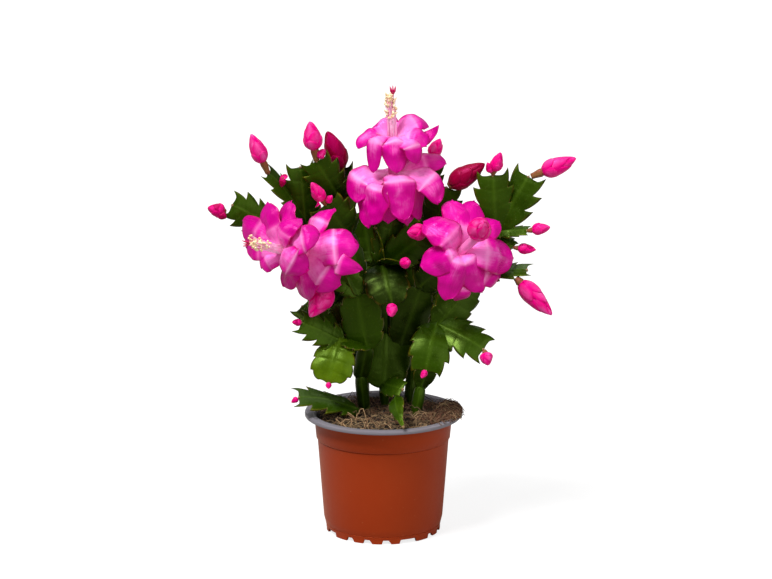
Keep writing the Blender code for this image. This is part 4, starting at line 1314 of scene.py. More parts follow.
@dataclass(frozen=True)
class FlowerBud:
    """A bud on its areole, with the tiny buds beside it.

    Attributes:
        name: The solid that it replaces.
        foot: Where it stands.
        tip: Where its tip is.
        width: Its width.
        neck: The share of its length that is its green foot.
        tone: How light it is.
        small: Tiny buds as (shift of the foot, tip, width), counted from this bud's foot.
    """

    name: str
    foot: Point
    tip: Point
    width: float
    neck: float = 0.0
    tone: float = 0.6
    small: tuple[tuple[Point, Point, float], ...] = ()

    def build(self) -> None:
        """Make the bud and its small ones."""
        draft = MeshDraft()
        chance = random.Random(self.name)
        foot = Vector(self.foot)
        tip = Vector(self.tip)
        sunk = foot - (tip - foot).normalized() * BUD_SINK
        BudForm(sunk, tip, self.width, self.neck, self.tone).add_to(draft, chance)
        for shift, end, width in self.small:
            small = BudForm(foot + Vector(shift), foot + Vector(end), width, 0.12, self.tone - 0.15)
            small.add_to(draft, chance)
        draft.build(f"{self.name}_tepals", [BUD], Slot.BUD, [self.name])


# Half the width of a bud's body from its foot to its tip, as (share of length, share of width)
BUD_PROFILE = (
    (0, 0.24), (0.06, 0.34), (0.18, 0.44), (0.34, 0.49), (0.5, 0.46),
    (0.68, 0.37), (0.84, 0.24), (0.94, 0.13), (1, 0.03),
)
# The body's share of the whole width, since the tepals lie over it, and how far a bud's foot is sunk
BUD_BODY = 0.93
BUD_SINK = 0.7
# Tiers of tepals as (share where they start, share of their tips, how many, how far they stand out)
LARGE_TIERS = ((0.3, 0.99, 3, 0.035), (0.1, 0.78, 3, 0.075), (0, 0.46, 4, 0.11))
SMALL_TIERS = ((0.05, 0.93, 3, 0.05), (0, 0.52, 3, 0.1))
TEPAL_ROWS, TEPAL_COLUMNS = 12, 8


class BudForm:
    """The shape of a bud: a core, a ribbed foot and tepals that wrap round it in overlapping tiers."""

    def __init__(self, foot: Vector, tip: Vector, width: float, neck: float, tone: float) -> None:
        """Work out a bud's frame.

        Args:
            foot: Where it stands.
            tip: Where its tip is.
            width: Its width.
            neck: The share of its length that is its foot.
            tone: How light it is.
        """
        self.foot = foot
        self.tip = tip
        self.width = width
        self.neck = neck
        self.tone = tone
        along = (tip - foot).normalized()
        normal = square_to(along, FRONT if abs(along.y) < 0.9 else UP)
        self.axes = Axes(along, along.cross(normal), normal)
        self.length = (tip - foot).length
        self.large = width > 7.5

    def spot(self, angle: float, share: float, radius: float) -> Vector:
        """The point at an angle, a share of the bud's length and a radius."""
        return self.foot + self.axes.along * (share * self.length) + self.axes.out(angle) * radius

    def along_body(self, share: float) -> float:
        """The share of the bud's length at a share of its body's length."""
        return self.neck + (1 - self.neck) * share

    def add_to(self, draft: MeshDraft, chance: random.Random) -> None:
        """Add the bud to a piece.

        Args:
            draft: The piece that it joins.
            chance: Random numbers.
        """
        self.add_core(draft)
        turn = chance.uniform(0, 6.28)
        for start, end, count, stand in LARGE_TIERS if self.large else SMALL_TIERS:
            for k in range(count):
                middle = turn + math.tau * k / count + chance.uniform(-0.12, 0.12)
                reach = end + chance.uniform(-0.07, 0.04) * (end < 0.95)
                spread = math.pi / count * chance.uniform(1.15, 1.3)
                lift = stand + chance.uniform(-0.008, 0.012)
                tone = limited(self.tone + chance.uniform(-0.14, 0.14))
                draft.skin(self.tepal((start, min(reach, 0.995)), (middle, spread), lift, tone))
            turn += math.pi / count + 0.25

    def add_core(self, draft: MeshDraft) -> None:
        """Add the ribbed foot and the body.

        Args:
            draft: The piece that they join.
        """
        sides = 28 if self.large else 18
        rows = []
        for share in [self.neck * k / 5 for k in range(5)] if self.neck else []:
            wide = max(0.17 + 0.09 * smooth(0, self.neck, share), 0.75 / self.width) * self.width
            places = [self.spot(a, share, wide * (1 + 0.06 * math.cos(5 * a))) for a in around(sides)]
            rows.append([draft.point(p, (k / sides, 0), (self.tone, 1)) for k, p in enumerate(places)])
        for t in (k / 12 for k in range(13)):
            wide = through(BUD_PROFILE, t) * self.width * BUD_BODY
            kind = 1 - smooth(0.0, 0.1, t) if self.neck else 0.0
            places = [self.spot(angle, self.along_body(t), wide) for angle in around(sides)]
            rows.append([draft.point(place, (0.5, t), (self.tone, kind)) for place in places])
        draft.loft(rows)
        draft.plug(rows, (self.foot, (0.5, 0), (self.tone, 1)), (self.tip, (0.5, 1), (self.tone, 0)))

    def tepal(self, run: Pair, turn: Pair, lift: float, tone: float) -> Iterator[SkinLine]:
        """Draw one tepal that hugs the bud.

        Args:
            run: Where the tepal starts and ends along the body.
            turn: The angle of its middle, and half the angle that it covers.
            lift: How far it stands off the body, as a share of the width.
            tone: How light it is.

        Yields:
            Its lines of points, from its foot to its tip.
        """
        middle, spread = turn
        for t in (row / TEPAL_ROWS for row in range(TEPAL_ROWS + 1)):
            share = run[0] + (run[1] - run[0]) * t
            taper = math.sqrt(max(1 - ((t - 0.3) / 0.7) ** 2, 0)) if t > 0.3 else 1.0
            taper = max(taper, 0.05) * (0.72 + 0.28 * smooth(0, 0.3, t))
            radius = through(BUD_PROFILE, share) * self.width * BUD_BODY
            ledge = lift * self.width * (0.45 + 0.55 * smooth(0.0, 0.35, t))
            ledge *= 1 - 0.25 * smooth(0.85, 1.0, t)
            line = []
            for across in (2 * column / TEPAL_COLUMNS - 1 for column in range(TEPAL_COLUMNS + 1)):
                angle = middle + spread * across * taper * (1.0 if share < 0.8 else 1.15)
                bow = 1 - 0.5 * across**4
                along = self.along_body(share - 0.03 * across * across * t)
                radii = (radius + ledge * bow + 0.05, radius + ledge * bow * 0.2 - 0.12)
                places = [self.spot(angle, along, max(wide, 0.05)) for wide in radii]
                line.append((*places, ((across + 1) / 2, t), (tone, 0)))
            yield line


# The buds as (name, foot, tip, width, neck, tone, small ones)
BUDS = tuple(FlowerBud(f"bud_{name}", *form) for name, *form in (
    ("far_left", (-104.6, 8.8, 215.1), (-116, 7, 218), 8.7, 0.1, 0.35,
     (((0.2, -1, -0.6), (-4, -5, -3.5), 5.5),)),
    ("left_high", (-76.4, 11.9, 241), (-87, 9, 267), 10, 0.3, 0.85),
    ("crown_mid", (-44.2, 8.3, 250.1), (-48, 5, 276), 11.4, 0.3, 0.8,
     (((1, -0.6, 0.9), (6, -2.5, 7.5), 5.5),)),
    ("crown_side", (-65.9, 14.2, 237.7), (-66, 14, 238), 5, 0, 0.4,
     (((0, -0.5, -0.5), (-1.5, -3, -6.5), 4.4),)),
    ("crown_right", (-27.4, 30.1, 241), (-37, 20, 267), 13.4, 0.08, 0.12,
     (((-0.6, -1.2, 0.4), (-6.5, -5, 5), 5.5),)),
    ("heart", (-38.4, 2.2, 221.7), (-47, -4, 237), 8, 0.22, 0.7, (((0.8, -0.4, 0.6), (5, -2, 6), 4.6),)),
    ("outer_front", (-54.9, -13.4, 145.2), (-60, -16, 146), 4.4, 0, 0.45),
    ("hot_pink", (-34.7, -12.3, 169.6), (-48, -22, 151), 14, 0.1, 1.0),
    ("hanging_left", (-36, -21.8, 105.4), (-36, -25, 103), 3.6, 0, 0.5),
    ("shelf", (13.3, -17.5, 186.1), (17, -24, 188), 6.6, 0, 0.6),
    ("centre_hanging", (5.9, -22.7, 158.5), (5, -30, 153), 6.8, 0, 0.6),
    ("right_leaf", (27.1, -6.4, 205.1), (16, -18, 206), 10, 0.1, 0.6),
    ("back_right", (44, 14.8, 231.6), (67, 11, 247), 13.4, 0.06, 0.1),
    ("back_top", (32.5, 31.7, 248.2), (38, 28, 261), 8.6, 0.1, 0.7),
    ("low_hanging", (27.6, -24.5, 114.5), (25, -28, 111), 4, 0, 0.5),
    ("low_right", (66.8, -19.2, 127.1), (69, -25, 119), 8, 0.2, 0.7),
    ("crown_high", (72.3, 5.7, 241.1), (77, 2, 256), 7.6, 0.2, 0.6, (((-0.8, 0, 0.4), (-4, -2, 8), 5),)),
    ("far_right", (98.4, 10.6, 238.8), (127, 8, 251), 11.4, 0.26, 0.7),
    ("side_high", (96, -0.1, 204.2), (110, -2, 207), 7.4, 0.2, 0.55),
    ("side_low", (87.1, 3.8, 191.9), (101, 1, 191), 6.7, 0.2, 0.5),
    ("side_edge", (88.1, -4.8, 172.9), (111, -13, 150), 12, 0.14, 0.75),
    ("low_leaf", (-57.2, -14.3, 93.3), (-61, -15, 91), 3.6, 0, 0.5),
    ("back_1", (-44.3, 60.2, 200.8), (-50, 64, 217), 8, 0.2, 0.6),
    ("back_2", (-44.1, 78.4, 146.1), (-45, 84, 131), 9, 0.1, 0.5),
    ("back_3", (-6, 82.4, 151.1), (-6, 90, 134), 11, 0.12, 0.7),
    ("back_4", (24.2, 62.2, 203.6), (28, 68, 219), 8, 0.2, 0.4),
    ("back_5", (52.1, 78.5, 146.1), (54, 88, 130), 10, 0.1, 0.6),
    ("back_6", (60.3, 54.2, 194.6), (68, 58, 209), 7, 0.2, 0.6),
))


# ---- blooms


@dataclass(frozen=True)
class Petal:
    """A petal on its tier.

    Attributes:
        angle: Its angle about the tube, in degrees.
        reach: How far out its tip is.
        height: How high its tip is over its tier.
        width: Its width.
        tone: How deep its colour is. Petals set back behind the others are given deep tones, which paint the
            shade there.
        lift: How high its crest rises.
        point: How pointed its tip is, from 0 for round to 1.
        base: How far over its tier it starts.
        roll: How far its blade turns about its own length, in degrees.
        fold: How strongly it folds down from its middle line, as a share of its width.
        wave: How strongly it waves along its length, in millimetres.
        crest: Where it turns over, as a share of its reach, or 0 for further out the more it hangs.
    """

    angle: float
    reach: float
    height: float
    width: float
    tone: float
    lift: float = 3.0
    point: float = 0.3
    base: float = 0.0
    roll: float = 0.0
    fold: float = 0.13
    wave: float = 0.35
    crest: float = 0.0

    def middle_line(self, layer: int) -> list[Vector]:
        """Draw the middle line, which rises, turns over its crest and hangs to the tip.

        Args:
            layer: 0 or 1, which of two layers of its tier it lies in.

        Returns:
            Its points as (distance from the tube, height over the tier).
        """
        hang = limited(-self.height / self.reach)
        pull = 1 + 2.6 * smooth(0.1, 0.7, hang)
        rise = 0.7 * self.crest or 0.34
        over = self.crest or 0.74 + 0.34 * hang
        fall = self.height * (0.75 - 0.62 * hang) * (not self.crest)
        knots = (
            (1.5, self.base - 3.0 + 1.6 * layer),
            (1.5 + self.reach * rise, self.base + self.lift * 1.25 + 1.5 * layer + max(self.height, 0) * 0.3),
            (self.reach * over, self.lift * (1.1 - 0.4 * hang) + fall),
            (self.reach, self.height),
        )
        line = []
        for t in (step / LINE_STEPS for step in range(LINE_STEPS + 1)):
            shares = ((1 - t) ** 3, 3 * t * (1 - t) ** 2, 3 * t * t * (1 - t) * pull, t**3)
            whole = sum(shares)
            spot = [sum(k * share for k, share in zip(part, shares)) / whole for part in zip(*knots)]
            line.append(Vector(spot))
        return line

    def breadth(self, t: float) -> float:
        """Give half the width along the petal.

        Args:
            t: Share of the length.

        Returns:
            Half the width there, as a share of the width.
        """
        grow = through(PETAL_PROFILE, t)
        if t < 0.5:
            return grow
        rest = (t - 0.5) / 0.5
        round_end = max(1 - rest**4.0, 0) ** 0.5
        sharp_end = max(1 - rest**2.0, 0) ** 0.9
        return grow * max(round_end + (sharp_end - round_end) * self.point, 0.035)


# Where along its marks every petal's crest lies
CREST = 0.36
# Half the width of a petal from its foot to its middle, as (share of length, share of width)
PETAL_PROFILE = (
    (0, 0.16), (0.08, 0.27), (0.18, 0.4), (0.3, 0.48), (0.45, 0.51), (0.6, 0.52), (1, 0.52),
)
# How many steps draw a petal's middle line, and which of them its crest may lie on
LINE_STEPS = 40
CREST_STEPS = range(8, 36)
PETAL_ROWS, PETAL_COLUMNS = 24, 16
# The narrow painted highlight along the crest: how wide it is along the petal
CREST_HIGHLIGHT = 0.038


class PetalForm:
    """The shape of one petal, which rises from the tube, turns over and hangs to its tip."""

    def __init__(
        self, petal: Petal, axes: Axes, tier: tuple[Vector, float, int], chance: random.Random
    ) -> None:
        """Work out a petal's middle line and draw its own bends.

        Args:
            petal: The petal.
            axes: The bloom's directions.
            tier: The tube's foot, the tier's height along the axis, and which of its two layers this is in.
            chance: Random numbers.
        """
        self.petal = petal
        self.along = axes.along
        self.out = axes.out(math.radians(petal.angle))
        self.across = axes.along.cross(self.out)
        self.foot, self.height, layer = tier
        self.line = petal.middle_line(layer)
        self.lengths = [0.0]
        for low, high in zip(self.line, self.line[1:]):
            self.lengths.append(self.lengths[-1] + (high - low).length)
        steps = [high - low for low, high in zip(self.line, self.line[1:])]
        sharpest = max(CREST_STEPS, key=lambda k: abs(steps[k - 1].angle(steps[k])))
        self.crest = limited(self.lengths[sharpest] / self.lengths[-1], 0.25, 0.6)
        self.phase = chance.uniform(0, 6.28)
        self.skew = chance.uniform(-0.06, 0.06) * petal.width
        self.lean = chance.uniform(-0.1, 0.1)
        self.tone = limited(petal.tone + chance.uniform(-0.12, 0.12))
        self.curl = chance.uniform(-0.6, 1.2)

    def centre(self, t: float) -> Vector:
        """Give the middle line's place.

        Args:
            t: Share of the length.

        Returns:
            The place there.
        """
        wanted = limited(t) * self.lengths[-1]
        here = max(k for k in range(LINE_STEPS) if self.lengths[k] <= wanted or k == 0)
        share = (wanted - self.lengths[here]) / (self.lengths[here + 1] - self.lengths[here])
        reach, rise = self.line[here].lerp(self.line[here + 1], share)
        return self.foot + self.along * (self.height + rise) + self.out * reach

    def skin_lines(self) -> Iterator[SkinLine]:
        """Draw the petal.

        Yields:
            Its lines of points, from its foot to its tip.
        """
        petal = self.petal
        phase = self.phase
        crest = self.crest
        # A painted highlight along the crest, stronger on petals that hang further. It goes into the tint's
        # kind mark, which the petal finish paints pale.
        glow = 0.35 + 0.55 * smooth(0.1, 0.6, -petal.height / petal.reach)
        for t in (1 - (1 - row / PETAL_ROWS) ** 1.3 for row in range(PETAL_ROWS + 1)):
            tangent = (self.centre(min(t + 0.02, 1.0)) - self.centre(max(t - 0.02, 0.0))).normalized()
            turn = math.radians(petal.roll) * smooth(0.08, 0.5, t)
            wing = self.across * math.cos(turn) + tangent.cross(self.across).normalized() * math.sin(turn)
            normal = tangent.cross(wing).normalized()
            half = petal.breadth(t) * petal.width
            grown = smooth(0.2, 0.5, t)
            uneven = [noise.noise(Vector((t * 4.5, phase, hand * 9))) for hand in (-1, 1)]
            hands = [half * (1 + 0.15 * part * grown) for part in uneven]
            share = t / crest * CREST if t < crest else CREST + (1 - CREST) * (t - crest) / (1 - crest)
            ridge = glow * math.exp(-(((t - crest) / CREST_HIGHLIGHT) ** 2))
            body = math.sin(math.pi * min(t, 1.0)) ** 0.7 if 0 < t < 1 else 0.0
            middle = self.centre(t) + self.across * (self.skew * math.sin(math.pi * t))
            thick = 0.2 + 0.25 * (1 - smooth(0, 0.6, t))
            roll = self.lean * smooth(0.25, 1.0, t) * petal.width
            folded = smooth(0.0, 0.35, t) * (1 - 0.45 * smooth(0.6, 1.0, t))
            wave = math.sin(t * 13 + phase) * petal.wave * body * smooth(0.15, 0.4, t)
            line = []
            for across in (2 * column / PETAL_COLUMNS - 1 for column in range(PETAL_COLUMNS + 1)):
                off = across * hands[across > 0]
                roof = (math.sqrt(off * off + 0.5) - 0.7) * petal.fold * 2.0
                bowl = petal.fold * 0.9 * off * off / petal.width * 2
                dip = (roof * 0.6 + bowl * 0.8) * folded
                ruffle = math.sin(t * 17 + phase * 2 + across * 2) * 0.42 * abs(across) ** 4 * body
                flick = self.curl * smooth(0.82, 1.0, t) * (0.4 + 0.6 * abs(across))
                fine = noise.noise((middle + wing * off) * 0.14) * 1.5 * body
                lift = -dip + wave + ruffle + flick + roll * across * 0.5 + fine
                ragged = noise.noise(Vector((across * 2.2, phase * 3, 4))) * 0.1 * smooth(0.6, 1, t)
                blunt = 0.05 * across * across * smooth(0.5, 1, t) * (1 - petal.point)
                place = middle + wing * off + normal * lift - tangent * ((blunt + ragged) * petal.width)
                thin = thick * (1 - 0.55 * abs(across) ** 5)
                # The painted crest highlight, fading towards the petal's edges
                pale = ridge * (1 - 0.5 * across * across)
                places = [place + normal * (sign * thin) for sign in (1, -1)]
                line.append((*places, ((across + 1) / 2, share), (self.tone, pale)))
            yield line


@dataclass(frozen=True)
class TieredBloom:
    """A bloom with tiers of petals at heights along its own axis.

    Attributes:
        name: The start of its solids' names.
        foot: Where its tube starts.
        axis: Where it points.
        outer_height: Where the outer tier sits along the axis.
        outer: The outer petals.
        inner_height: Where the inner tier sits, if it is open.
        inner: The inner petals.
        style_length: How far the style stands out, if it is open.
        closed_length: How far beyond the outer tier the closed inner one is, if it isn't open yet.
        closed_axis: Where the closed inner tier points.
        lean: How far the stamens lean, as a direction.
        stamens: How many stamens it has, if it is open.
    """

    name: str
    foot: Point
    axis: Point
    outer_height: float
    outer: tuple[Petal, ...]
    inner_height: float = 0.0
    inner: tuple[Petal, ...] = ()
    style_length: float = 0.0
    closed_length: float = 0.0
    closed_axis: Point = (0, 0, 1)
    lean: Point = (0, 0, 0)
    stamens: int = 84

    def axes(self) -> Axes:
        """Work out the bloom's axis and two directions square to it.

        Returns:
            The three directions.
        """
        axis = Vector(self.axis).normalized()
        up = square_to(axis, UP if abs(axis.z) < 0.9 else FRONT)
        return Axes(axis, up, up.cross(axis))

    def build(self) -> None:
        """Make the petals, the stamens and the style."""
        draft = MeshDraft()
        self.add_tube(draft)
        chance = random.Random(self.name)
        for height, tier in ((self.outer_height, self.outer), (self.inner_height, self.inner)):
            for index, petal in enumerate(tier):
                form = PetalForm(petal, self.axes(), (Vector(self.foot), height, index % 2), chance)
                draft.skin(form.skin_lines())
        if self.closed_length:
            self.build_closed_tier(chance)
        draft.build(f"{self.name}_tiers", [PETAL], Slot.PETAL, [f"{self.name}_petals"])
        if self.style_length:
            self.build_stamens(chance)
            self.build_style()

    def build_closed_tier(self, chance: random.Random) -> None:
        """Make the inner tier that isn't open yet, as a bud that looks at the front.

        Args:
            chance: Random numbers.
        """
        throat = Vector(self.foot) + self.axes().along * self.outer_height
        foot = throat + Vector(self.closed_axis).normalized() * (self.closed_length - 5)
        foot += Vector(UP) * 2.6
        ahead = Vector((0.15, -0.85, 0.5)).normalized()
        bud = MeshDraft()
        BudForm(foot - ahead * 2, foot + ahead * 17, 14.2, 0.02, 0.85).add_to(bud, chance)
        bud.build(f"{self.name}_closed_tier", [BUD], Slot.PETAL)

    def add_tube(self, draft: MeshDraft) -> None:
        """Add the pale flower tube with its ribs. It bends at the outer tier towards a closed inner tier.

        Args:
            draft: The piece that it joins.
        """
        axes = self.axes()
        foot = Vector(self.foot) - axes.along * 0.8
        onward = Vector(self.closed_axis).normalized() if self.closed_length else axes.along
        top = self.inner_height or self.outer_height + self.closed_length - 3
        sides = 24
        rows = []
        for t in (k / 18 for k in range(19)):
            wide = through(TUBE_PROFILE, t)
            past = max(top * t - self.outer_height, 0)
            middle = foot + axes.along * (top * t - past) + onward * past
            tint = (0.3, 0.55 * smooth(0.1, 0.4, t))
            outs = [axes.out(angle) * (wide * (1 + 0.035 * math.cos(6 * angle))) for angle in around(sides)]
            rows.append([draft.point(middle + out, (j / sides, t), tint) for j, out in enumerate(outs)])
        draft.loft(rows)
        draft.plug(rows, (foot, (0.5, 0), (0.3, 0.2)), (middle + onward * 0.6, (0.5, 1), (0.3, 0.8)))

    def build_stamens(self, chance: random.Random) -> None:
        """Make the filaments and their anthers.

        Args:
            chance: Random numbers.
        """
        axes = self.axes()
        axis = axes.along
        mouth = Vector(self.foot) + axis * (self.inner_height - 0.6)
        threads = MeshDraft()
        tips = MeshDraft()
        for k in range(self.stamens):
            out = axes.out(2.4 * k)
            start = chance.uniform(1, 3.3)
            reach = self.style_length * chance.uniform(0.4, 0.86)
            spread = chance.uniform(0.5, 4.2)
            sag = Vector(self.lean) * (reach / 30)
            end = mouth + axis * reach + out * spread + sag
            path = [
                mouth + out * start,
                mouth + axis * (reach * 0.35) + out * (start * 0.9) + sag * 0.1,
                mouth + axis * (reach * 0.7) + out * (start * 0.5 + spread * 0.45) + sag * 0.5,
                end,
            ]
            threads.tube(path, [0.24, 0.21, 0.18, 0.13], 6, (0.35 + 0.6 * chance.random(), 0))
            turn = axis * 0.5 + out * chance.uniform(-0.6, 1) + axes.second * chance.uniform(-0.8, 0.8)
            half = turn.normalized() * chance.uniform(1, 1.6)
            anther = [end - half, end - half * 0.5, end + half * 0.4, end + half]
            tips.tube(anther, [0.25, 0.82, 0.76, 0.22], 7, (chance.uniform(0.2, 1), 0), 0.8, out)
        threads.build(f"{self.name}_filaments", [FILAMENT], Slot.STAMEN, [f"{self.name}_stamens"])
        tips.build(f"{self.name}_anthers", [ANTHER], Slot.STAMEN)

    def build_style(self) -> None:
        """Make the style and the six lobes of its stigma."""
        axes = self.axes()
        axis = axes.along
        foot = Vector(self.foot) + axis * (self.inner_height + 0.2)
        length = self.style_length
        draft = MeshDraft()
        shares = (0, 0.25, 0.5, 0.7, 0.82, 0.88)
        path = [foot + axis * (length * s) + axes.second * (0.35 * math.sin(s * 5)) for s in shares]
        draft.tube(path, [0.55, 0.48, 0.45, 0.48, 0.62, 0.5], 10, (0.4, 0))
        low = path[-2]
        for k, angle in enumerate(around(6)):
            out = axes.out(angle)
            reach = (length * 0.145, length * 0.18)[k % 2] * 0.95
            spread = 1.5 + 0.7 * (k % 2)
            bend = low + axis * (reach * 0.45) + out * (spread * 0.7)
            lobe = [low, bend, low + axis * reach + out * spread]
            draft.tube(lobe, [0.45, 0.62, 0.24], 8, (0.1, 0))
        draft.build(f"{self.name}_pistil", [STYLE], Slot.STYLE, [f"{self.name}_style"])


# Half the width of a flower's tube from its foot to its mouth, as (share of length, radius)
TUBE_PROFILE = ((0, 1.7), (0.1, 2.7), (0.25, 2.6), (0.55, 2.9), (0.85, 3.3), (1, 3.5))


BLOOMS = (
    TieredBloom(
        "top_bloom", (6, 7, 213.9), (0, -0.05, 1), 28, (
            Petal(72, 24, -18, 22, 0.4, 4, 0.2, roll=-42),
            Petal(48, 20, -34, 28, 0.4, 1, 0.1, base=-6),
            Petal(-20, 20, -28, 22, 0.4, 6, 0.35),
            Petal(-68, 32, -18, 20, 0.4, 5, 0.6, roll=36),
            Petal(-104, 37, 4, 17, 0.65, 5, 0.3, roll=42),
            # These three petals sit behind the others: their deep tones paint the shade there
            Petal(-44, 14, -33, 24, 0.9, -1, 0.4, base=-8),
            Petal(12, 13, -31, 18, 0.95, -1, 0.3, base=-8),
            Petal(-76, 17, -31, 17, 0.9, 0, 0.3, base=-6, roll=20),
            Petal(-142, 21, -30, 17, 0.5, 5, base=-3),
            Petal(126, 21, -27, 17, 0.5, 5, base=-3),
            Petal(172, 30, -14, 19, 0.5),
        ),
        52,
        (
            Petal(-12, 14, -21, 18, 0.55, 5, 0.45, fold=0.2),
            Petal(46, 17, -21, 10.8, 0.4, 5, 0.15, roll=-24, fold=0.18),
            Petal(80, 23, -7, 10, 0.4, 6, 0.1, roll=-40),
            Petal(138, 17, 3, 20, 0.45, 9, 0.1, roll=-20),
            Petal(-176, 16, 3, 19, 0.45, 8, 0.2),
            Petal(-118, 27, 4, 17, 0.5, 8, 0.1, roll=30),
            Petal(-74, 23, -5, 16, 0.4, 6, 0.1, roll=42, fold=0.22),
            Petal(-48, 20, -15, 14, 0.75, 3, 0.2, base=-2, roll=20),
            Petal(-98, 31, 7, 9, 0.95, -8, 1.0, roll=65),
        ),
        style_length=34,
        lean=(-1.5, 0, 0),
    ),
    TieredBloom(
        "left_bloom", (-37.4, -5.2, 187.5), (-0.75, -0.6, 0.26), 17, (
            Petal(2, 32, -14, 20, 0.6, 4, 0.3),
            Petal(66, 33, -16, 24, 0.5, 5, 0.2),
            Petal(94, 36, -19, 15, 0.95, 3, 0.8, base=-2),
            Petal(120, 29, -13, 24, 0.55, 5, 0.1),
            Petal(168, 30, -6, 27, 0.6, 4, 0.3),
            Petal(-146, 30, -1, 21, 0.5, 4),
            Petal(-60, 26, -9, 18, 0.5, 4),
        ),
        38,
        (
            Petal(-72, 38, 8, 20, 0.9, 4, 0.3),
            Petal(-34, 33, 5, 19, 0.8, 4, 0.35),
            Petal(-6, 32, -3, 18, 0.8, 4, 0.3),
            Petal(22, 24, -4, 17, 0.85, 9, 0.15, fold=0.2),
            Petal(58, 28, -10, 19, 0.8, 5, 0.25, base=-2),
            Petal(116, 19, -12, 20, 0.85, 7, 0.1, fold=0.22),
            Petal(-140, 20, 3, 16, 0.75, 4),
            Petal(-100, 28, 6, 15, 0.8, 4),
        ),
        style_length=31,
        lean=(0, 0, 1.5),
    ),
    TieredBloom(
        "right_bloom", (45.3, -3, 185.5), (0.25, -0.87, 0.42), 20, (
            Petal(2, 37, -7, 21, 0.45, 6, 0.1, crest=0.5),
            Petal(24, 39, -8, 18, 0.6, 5, 0.2, base=-2, crest=0.5),
            Petal(56, 36, -4, 17, 0.55, 4, 0.2),
            Petal(95, 40, -13, 23, 0.35, 8, 0.1, fold=0.18, wave=0.9, crest=0.5),
            Petal(122, 33, -17, 18, 0.85, 1, 0.1, base=-6),
            Petal(148, 29, -12, 18, 0.35, 8, 0.1, fold=0.22, crest=0.32),
            Petal(-160, 30, -12, 19, 0.64, 9, 0.25, fold=0.22, crest=0.3),
            Petal(-102, 26, -10, 20, 0.5, 8, 0.3, fold=0.2, crest=0.4),
            Petal(-42, 31, -5, 21, 0.65, 11, 0.15, fold=0.14, wave=1.2, crest=0.45),
            Petal(-176, 28, -19, 17, 0.9, -1, 0.2, base=-8),
        ),
        closed_length=24,
        closed_axis=(0.62, -0.5, 0.72),
    ),
)


# ---- pot and soil


